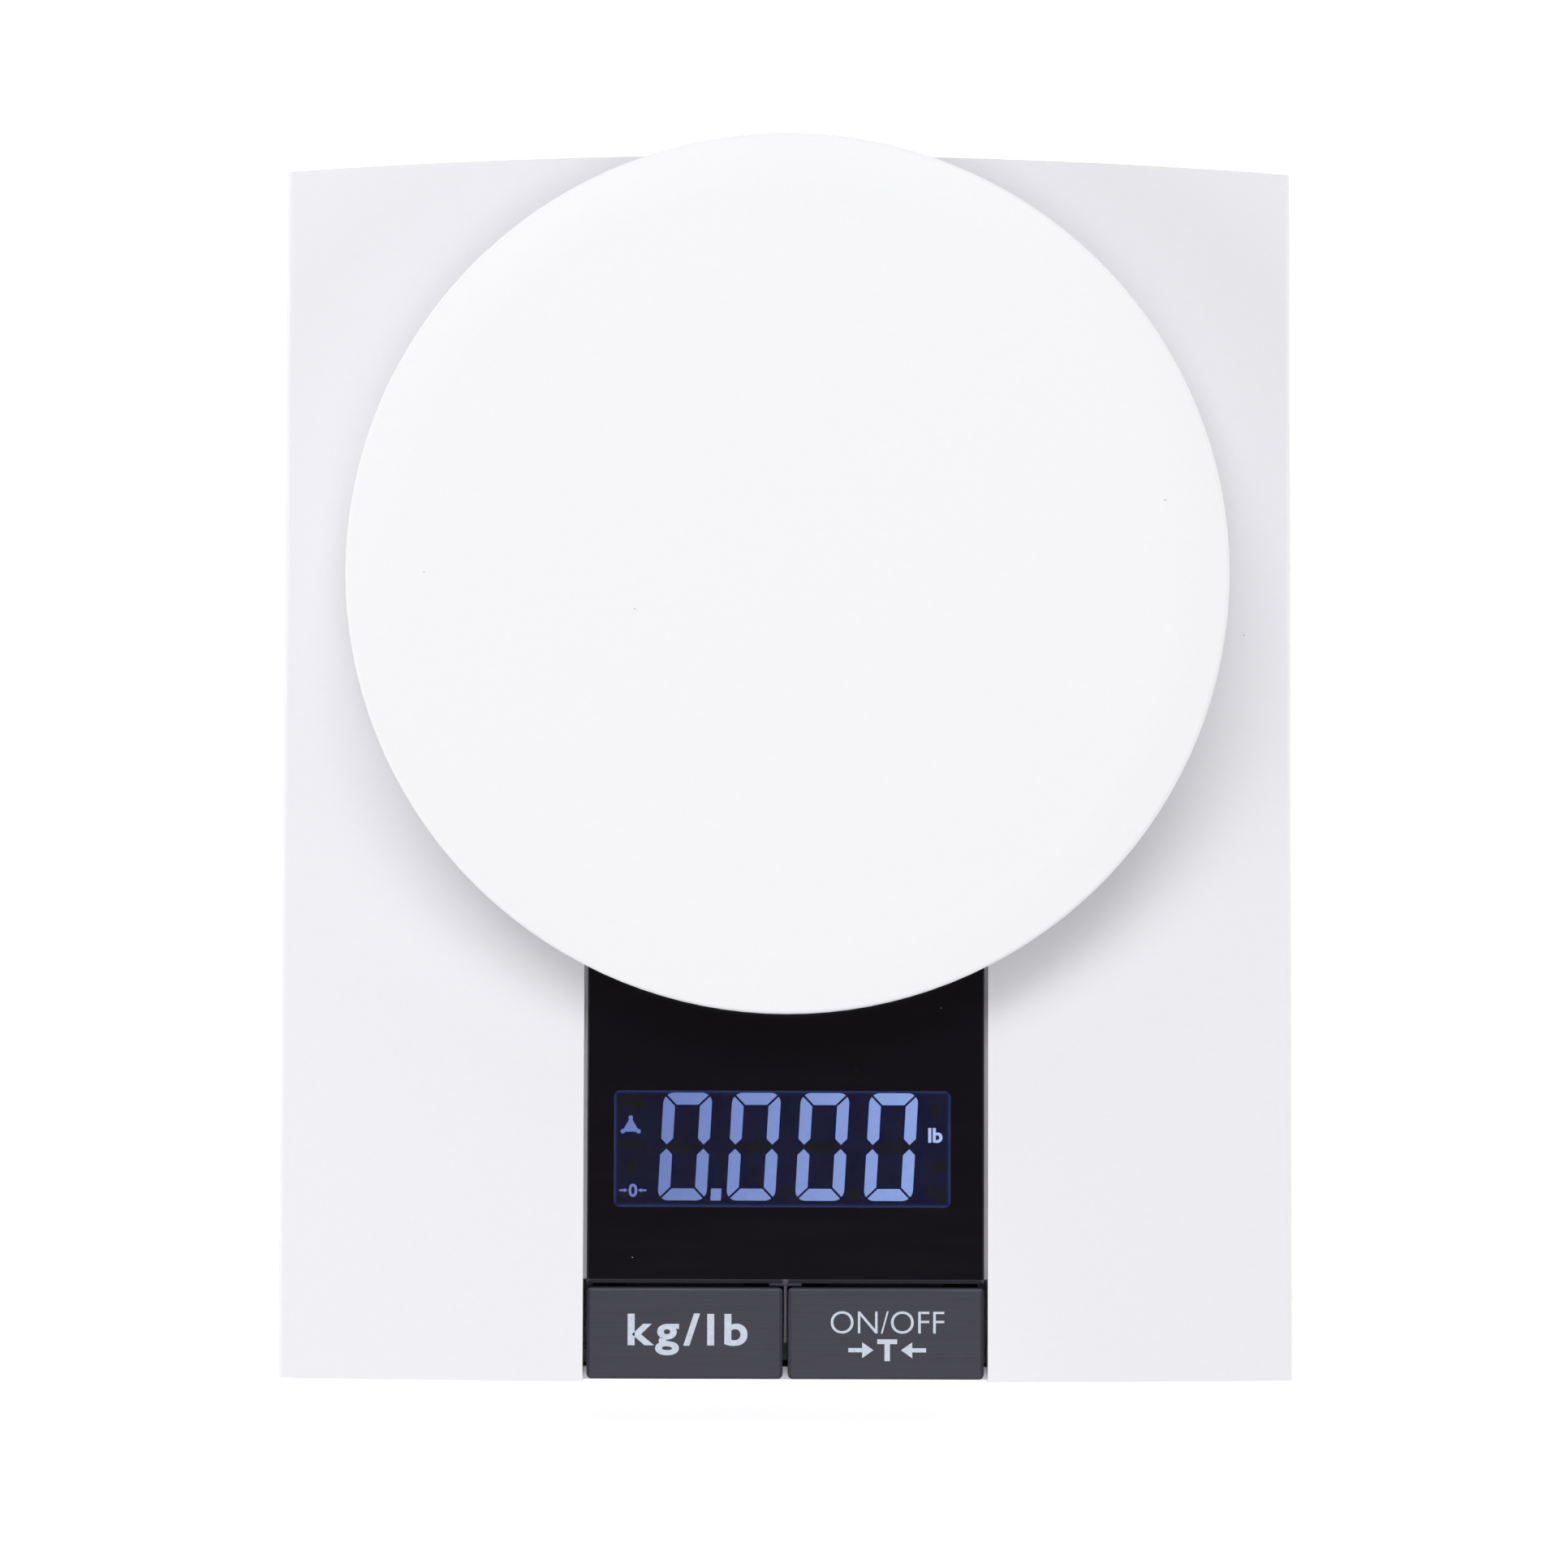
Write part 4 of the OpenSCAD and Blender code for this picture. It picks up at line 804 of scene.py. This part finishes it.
class SCALE_OT_stage(bpy.types.Operator):
    """Makes the camera, the pale floor and the soft studio light"""

    bl_idname = "scale.stage"
    bl_label = "Stage"

    def execute(self, context):
        s = context.scene.scale_stage
        self.camera(context, s)
        self.floor(s)
        self.lamps(context, s)
        self.walls(context, s)
        context.scene.view_settings.view_transform = "Standard"
        return {"FINISHED"}

    def camera(self, context, s):
        """A camera that looks down on the part."""
        lens = bpy.data.cameras.new("camera")
        lens.sensor_width = SENSOR_W
        lens.lens = s.camera_lens
        eye = bpy.data.objects.new("camera", lens)
        turn = Matrix.Rotation(s.camera_tilt, 4, "X") @ Matrix.Rotation(s.camera_roll, 4, "Z")
        eye.matrix_world = Matrix.Translation(s.camera_place) @ turn
        context.scene.collection.objects.link(eye)
        context.scene.camera = eye

    def floor(self, s):
        """A round floor, which lets the low light through to the part's underside."""
        work = bmesh.new()
        bmesh.ops.create_circle(work, cap_ends=True, radius=s.floor_radius, segments=FLOOR_SIDES)
        floor = object_from(work, "floor", self.floor_finish(s))
        floor.visible_shadow = False

    def floor_finish(self, s):
        """Paper that keeps shadows, goes to white away from the part and is clear from below."""
        material = bpy.data.materials.new("floor paper")
        material.use_nodes = True
        tree = material.node_tree
        tree.nodes.clear()
        place = places(tree)
        tone = colour_drift(tree, place, s.floor_colour, per_metre=8, spread=0.01)
        paper = add(tree, "BsdfDiffuse", Color=tone)
        away = add(tree, "VectorMath", {"operation": "LENGTH"}, Vector=place).outputs["Value"]
        strength = ranged(tree, away, s.floor_glow, 1.0, GLOW_START, GLOW_STOP)
        rays = add(tree, "LightPath").outputs
        seen = sums(tree, "MAXIMUM", rays["Is Camera Ray"], self.mirrored(tree, rays))
        shine = sums(tree, "MULTIPLY", seen, strength)
        light = add(tree, "Emission", Color=WHITE, Strength=shine)
        both = add(tree, "AddShader")
        tree.links.new(paper.outputs[0], both.inputs[0])
        tree.links.new(light.outputs[0], both.inputs[1])
        under = add(tree, "MixShader")
        tree.links.new(add(tree, "NewGeometry").outputs["Backfacing"], under.inputs["Fac"])
        tree.links.new(both.outputs[0], under.inputs[1])
        tree.links.new(add(tree, "BsdfTransparent").outputs[0], under.inputs[2])
        add(tree, "OutputMaterial", Surface=under.outputs[0])
        return material

    def mirrored(self, tree, rays):
        """1 where a gloss or clear surface shows the background, and 0 elsewhere."""
        return sums(tree, "MAXIMUM", rays["Is Glossy Ray"], rays["Is Transmission Ray"])

    def lamps(self, context, s):
        """Four softboxes round the part and one below. The gloss doesn't mirror the side ones."""
        self.softbox(
            context, "rear softbox", s.rear_light, bearing=-10, height=60.5, width=3.4, depth=1.3,
        )
        self.softbox(context, "left softbox", s.left_light, bearing=-112, height=30, shown=False)
        self.softbox(context, "front softbox", s.front_light, bearing=172, height=70)
        self.softbox(context, "right softbox", s.right_light, bearing=110, height=30, shown=False)
        self.softbox(context, "low softbox", s.low_light, bearing=0, height=-90)

    def softbox(
        self, context, name, level, bearing, height,
        width=SOFTBOX_SIDE, depth=SOFTBOX_SIDE, shown=True,
    ):
        """A lamp that looks at the part from a bearing (0 is the rear) and a height in degrees."""
        lamp = bpy.data.lights.new(name, "AREA")
        lamp.shape = "RECTANGLE"
        lamp.size = width
        lamp.size_y = depth
        rise = math.radians(height)
        lamp.energy = level * math.pi * LAMP_DISTANCE ** 2 / abs(math.sin(rise))
        around = math.radians(bearing)
        level_way = Vector((math.sin(around), math.cos(around), 0)) * math.cos(rise)
        way = level_way + Vector((0, 0, math.sin(rise)))
        holder = bpy.data.objects.new(name, lamp)
        holder.visible_glossy = shown
        turn = way.to_track_quat("Z", "Y").to_matrix().to_4x4()
        holder.matrix_world = Matrix.Translation(way * LAMP_DISTANCE) @ turn
        context.scene.collection.objects.link(holder)

    def walls(self, context, s):
        """Pale walls under a dark ceiling: white to the camera, and white walls in the gloss."""
        world = bpy.data.worlds.new("studio")
        world.use_nodes = True
        tree = world.node_tree
        way = add(tree, "TexCoord").outputs["Generated"]
        rise = add(tree, "SeparateXYZ", Vector=way).outputs["Z"]
        level = ranged(tree, rise, s.walls, s.ceiling, WALL_TOP, CEILING_START)
        above_floor = sums(tree, "GREATER_THAN", rise, 0.0)
        light = sums(tree, "MULTIPLY", level, above_floor)
        rays = add(tree, "LightPath").outputs
        below_ceiling = ranged(tree, rise, 1.0, 0.0, WALL_TOP, CEILING_START)
        in_gloss = sums(tree, "MULTIPLY", self.mirrored(tree, rays), below_ceiling)
        seen = sums(tree, "MAXIMUM", rays["Is Camera Ray"], in_gloss)
        background = tree.nodes["Background"]
        feed(tree, background.inputs["Strength"], sums(tree, "MAXIMUM", light, seen))
        background.inputs["Color"].default_value = WHITE
        context.scene.world = world


class SCALE_OT_case(bpy.types.Operator):
    """Finishes the covers, the platform and its carrier"""

    bl_idname = "scale.case"
    bl_label = "Case and platform"

    # Length of the divider's colour that reaches behind the panel's front edge
    BEHIND_EDGE = 1 * MM

    def execute(self, context):
        s = context.scene.scale_case
        cover = gloss_moulding("gloss white cover", s.cover_colour, s.dust_colour, roughness=0.13)
        platform = gloss_moulding(
            "satin white platform", s.platform_colour, s.dust_colour, roughness=0.5,
        )
        base = matt_moulding("matt white base", s.base_colour)
        carrier = matt_moulding("grey carrier", s.carrier_colour)
        self.darken_divider(cover, s)
        dress(["top_cover"], cover)
        dress(["platform"], platform)
        dress(["bottom_cover", "battery_door"], base, s.edge_r)
        dress(["platform_carrier"], carrier)
        return {"FINISHED"}

    def darken_divider(self, cover, s):
        """Colours the divider between the keys, which is moulded on the cover."""
        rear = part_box("display_panel")[0].y + self.BEHIND_EDGE
        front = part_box("unit_key")[1].y - s.divider_l
        half = s.divider_w / 2
        recolour(cover, s.divider_colour, Vector((-half, front)), Vector((half, rear)))


class SCALE_OT_display(bpy.types.Operator):
    """Finishes the panel and window, and draws what the display shows"""

    bl_idname = "scale.display"
    bl_label = "Display"

    def execute(self, context):
        s = context.scene.scale_display
        low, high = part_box("display_window")
        panel = polished_black("black gloss panel", s.panel_colour, s.panel_dust)
        panel_low, panel_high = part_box("display_panel")
        # Painted highlight of the bevelled front edge, on a paler cut edge
        cut_and_highlight_high = Vector((panel_high.x, panel_low.y + s.cut_and_highlight_w, panel_high.z))
        recolour(panel, s.cut_edge_and_highlight_colour, panel_low, cut_and_highlight_high)
        dress(["display_panel"], panel)
        dress(["display_window"], clear_sheet("clear window"))
        dress(["lcd_glass"], display_ground("display ground", s, low, high))
        dress(["lcd_backlight"], matt_moulding("backlight diffuser", s.backlight_colour))
        dress(["lcd_frame"], matt_moulding("white display frame", s.frame_colour))
        dress(["contact_strips"], rubber("pink contact rubber", s.contact_colour))
        dress(["panel_tape"], rubber("grey foam tape", s.tape_colour))
        self.marks(s, low, high)
        return {"FINISHED"}

    def marks(self, s, low, high):
        """Figures and signs as thin films on the display glass, under the window."""
        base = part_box("lcd_glass")[1].z
        roof = base + s.film
        lit = bmesh.new()
        unlit = bmesh.new()
        signs = bmesh.new()
        outlines = segment_outlines(s)
        foot = Vector((low.x + s.digit_x, low.y + s.digit_y))
        slant = s.digit_slant / s.digit_h

        def lean(outline, shift):
            return [(foot.x + shift + x + slant * y, foot.y + y) for x, y in outline]

        figures = split_readout(s.readout)
        for i, (sign, pointed) in enumerate(figures):
            shift = i * s.digit_pitch
            for key, outline in outlines.items():
                work = lit if key in SEGMENTS[sign] else unlit
                add_slab(work, lean(outline, shift), base, roof)
            if i < len(figures) - 1:
                add_slab(lit if pointed else unlit, lean(point_outline(s), shift), base, roof)
        self.lit_signs(signs, low, base, roof)
        self.unlit_signs(unlit, low, base, roof)
        finishes = {
            "display_figures": (lit, "lit segments", s.lit_left, s.lit_right),
            "display_signs": (signs, "lit signs", s.sign_left, s.sign_right),
            "display_unlit": (unlit, "unlit segments", s.unlit_colour, s.unlit_colour),
        }
        for name, (work, finish, left, right) in finishes.items():
            finish_piece(work, name, display_mark(finish, left, right, low, high), "base")

    def lit_signs(self, work, low, base, roof):
        """Steady sign, zero sign and pound sign."""
        corners = [on_window(low, *corner) for corner in STEADY_CORNERS]
        add_slab(work, knobbed(corners, STEADY_KNOB * MM, STEADY_INSET * MM), base, roof)
        for tip, way in ZERO_ARROWS.items():
            place = on_window(low, tip, ZERO_ARROW_Y)
            add_slab(work, arrow(place, ZERO_ARROW_SIZES, way), base, roof)
        for text, box in LIT_LETTERS.items():
            add_lettering(work, text, *on_levels(low, box, base, roof), SIGN_WEIGHT)

    def unlit_signs(self, work, low, base, roof):
        """Signs of the display that are off: other units and a few plain fields."""
        for text, box in UNLIT_LETTERS.items():
            add_lettering(work, text, *on_levels(low, box, base, roof), UNLIT_WEIGHT)
        for left, front, right, rear in UNLIT_FIELDS:
            corners = ((left, front), (right, front), (right, rear), (left, rear))
            add_slab(work, [on_window(low, *corner) for corner in corners], base, roof)
        centre = on_window(low, *UNLIT_RING)
        last = 360 - 360 / RING_POINTS
        add_slab(work, arc(centre, UNLIT_RING_R * MM, 0, last, RING_POINTS - 1), base, roof)


class SCALE_OT_keys(bpy.types.Operator):
    """Finishes the two keys and prints their legends"""

    bl_idname = "scale.keys"
    bl_label = "Keys"

    def execute(self, context):
        s = context.scene.scale_keys
        dress(["unit_key", "tare_key"], hairline("hairline grey key", s.key_colour))
        ink = print_ink("pale print", s.legend_colour)
        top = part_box("unit_key")[1].z
        levels = (top, top + s.ink)
        self.unit_legend(levels, ink)
        self.tare_legend(levels, ink)
        return {"FINISHED"}

    def unit_legend(self, levels, ink):
        """Two unit signs in bold letters on the left key."""
        work = bmesh.new()
        add_lettering(work, "kg/lb", *print_box(UNIT_PRINT, levels), BOLD, UNIT_SPACING)
        finish_piece(work, "unit_legend", ink, "unit_key")

    def tare_legend(self, levels, ink):
        """On and off in thin letters, and a bold tare sign between two arrows, on the right key."""
        work = bmesh.new()
        add_lettering(work, "ON/OFF", *print_box(POWER_PRINT, levels), THIN)
        add_lettering(work, "T", *print_box(TARE_PRINT, levels), EXTRA_BOLD)
        for tip, way in TARE_ARROWS.items():
            place = (tip * MM, TARE_ARROW_Y * MM)
            add_slab(work, arrow(place, TARE_ARROW_SIZES, way), *levels)
        finish_piece(work, "tare_legend", ink, "tare_key")


class SCALE_OT_works(bpy.types.Operator):
    """Finishes the load cell, the screws, the circuit board and what is on it"""

    bl_idname = "scale.works"
    bl_label = "Inner works"

    # Lengths into which the bending middle of the load cell is cut
    BEAM_CUTS = 12

    # Fine marks to the metre for each axis: even on plating, and along the milled beam
    PLATED = (700, 700, 700)
    MILLED = (2600, 60, 2600)

    def execute(self, context):
        s = context.scene.scale_works
        alloy = metal("milled alloy", s.alloy_colour, roughness=0.36, per_metre=self.MILLED)
        steel = metal("zinc-plated steel", s.steel_colour, roughness=0.34, per_metre=self.PLATED)
        dress(["load_cell"], alloy)
        dress(["cell_plate", "cell_screws", "carrier_screws", "overload_stop"], steel)
        dress(["board_screws", "case_screws"], steel)
        dress(["gauge_coating"], rubber("white gauge coating", s.gauge_colour, roughness=0.5))
        self.bend("load_cell", "beam_alloy")
        self.bend("gauge_coating", "gauge_white")
        dress(["circuit_board"], board_lacquer("green board lacquer", s.board_colour))
        resin = matt_moulding("black resin", s.resin_colour)
        dress(["controller_chip", "unit_plunger", "tare_plunger"], resin)
        switches = matt_moulding("dark switch moulding", s.switch_colour)
        dress(["board_parts", "unit_switch", "tare_switch"], switches)
        dress(["sensor_socket", "power_socket"], matt_moulding("ivory socket", s.socket_colour))
        dress(["sensor_cable"], rubber("grey cable sleeve", s.cable_colour))
        return {"FINISHED"}

    def bend(self, name, slot):
        """Replaces a node by a copy cut into short lengths."""
        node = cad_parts[name]
        low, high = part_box("gauge_coating")
        work = bmesh.new()
        work.from_mesh(node.data)
        for i in range(self.BEAM_CUTS + 1):
            station = Vector((0, low.y + (high.y - low.y) * i / self.BEAM_CUTS, 0))
            geometry = work.verts[:] + work.edges[:] + work.faces[:]
            bmesh.ops.bisect_plane(work, geom=geometry, plane_co=station, plane_no=(0, 1, 0))
        piece = object_from(work, "bending_" + name, node.material_slots[0].material)
        piece.data.shade_flat()
        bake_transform(piece)
        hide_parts(name)


class SCALE_OT_battery(bpy.types.Operator):
    """Finishes the battery cells, their contacts and leads"""

    bl_idname = "scale.battery"
    bl_label = "Battery"

    # Share of a cell's length at which its band starts, and the length over which they meet
    BAND_START = 0.74
    BAND_EDGE = 0.2 * MM

    # Fine marks to the metre for each axis on the contacts
    BRIGHT = (500, 500, 500)

    def execute(self, context):
        s = context.scene.scale_works
        low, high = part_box("battery_cells")
        start = low.y + self.BAND_START * (high.y - low.y)
        stop = start + self.BAND_EDGE
        jacket = cell_jacket("battery jacket", s.jacket_colour, s.band_colour, start, stop)
        dress(["battery_cells"], jacket)
        nickel = metal("bright nickel", s.nickel_colour, roughness=0.22, per_metre=self.BRIGHT)
        dress(["battery_link", "battery_terminals", "battery_springs"], nickel)
        dress(["battery_leads"], rubber("red lead insulation", s.lead_colour, roughness=0.5))
        return {"FINISHED"}


class SCALE_OT_feet(bpy.types.Operator):
    """Finishes the feet"""

    bl_idname = "scale.feet"
    bl_label = "Feet"

    def execute(self, context):
        s = context.scene.scale_works
        dress(["rubber_feet"], rubber("grey foot rubber", s.foot_colour), s.foot_edge_r)
        return {"FINISHED"}


OPERATORS = (
    SCALE_OT_stage, SCALE_OT_case, SCALE_OT_display, SCALE_OT_keys,
    SCALE_OT_works, SCALE_OT_battery, SCALE_OT_feet,
)
GROUPS = {
    "scale_stage": StageSettings, "scale_case": CaseSettings, "scale_display": DisplaySettings,
    "scale_keys": KeySettings, "scale_works": WorksSettings,
}


class SCALE_PT_panel(bpy.types.Panel):
    """Lists the pieces of the scale and their settings"""

    bl_idname = "SCALE_PT_panel"
    bl_label = "Kitchen scale"
    bl_space_type = "VIEW_3D"
    bl_region_type = "UI"
    bl_category = "Scale"

    def draw(self, context):
        for operator in OPERATORS:
            self.layout.operator(operator.bl_idname)
        for name, group in GROUPS.items():
            box = self.layout.box()
            for setting in group.__annotations__:
                box.prop(getattr(context.scene, name), setting)


def register():
    """Makes the settings, operators and panel known."""
    for kind in (*GROUPS.values(), *OPERATORS, SCALE_PT_panel):
        bpy.utils.register_class(kind)
    for name, group in GROUPS.items():
        setattr(bpy.types.Scene, name, PointerProperty(type=group))


def unregister():
    """Takes the settings, operators and panel away again."""
    for name in GROUPS:
        delattr(bpy.types.Scene, name)
    for kind in (SCALE_PT_panel, *reversed(OPERATORS), *reversed(GROUPS.values())):
        bpy.utils.unregister_class(kind)


def main():
    """Builds the whole scene."""
    register()
    bpy.ops.scale.stage()
    bpy.ops.scale.case()
    bpy.ops.scale.display()
    bpy.ops.scale.keys()
    bpy.ops.scale.works()
    bpy.ops.scale.battery()
    bpy.ops.scale.feet()


if __name__ == "__main__":
    main()
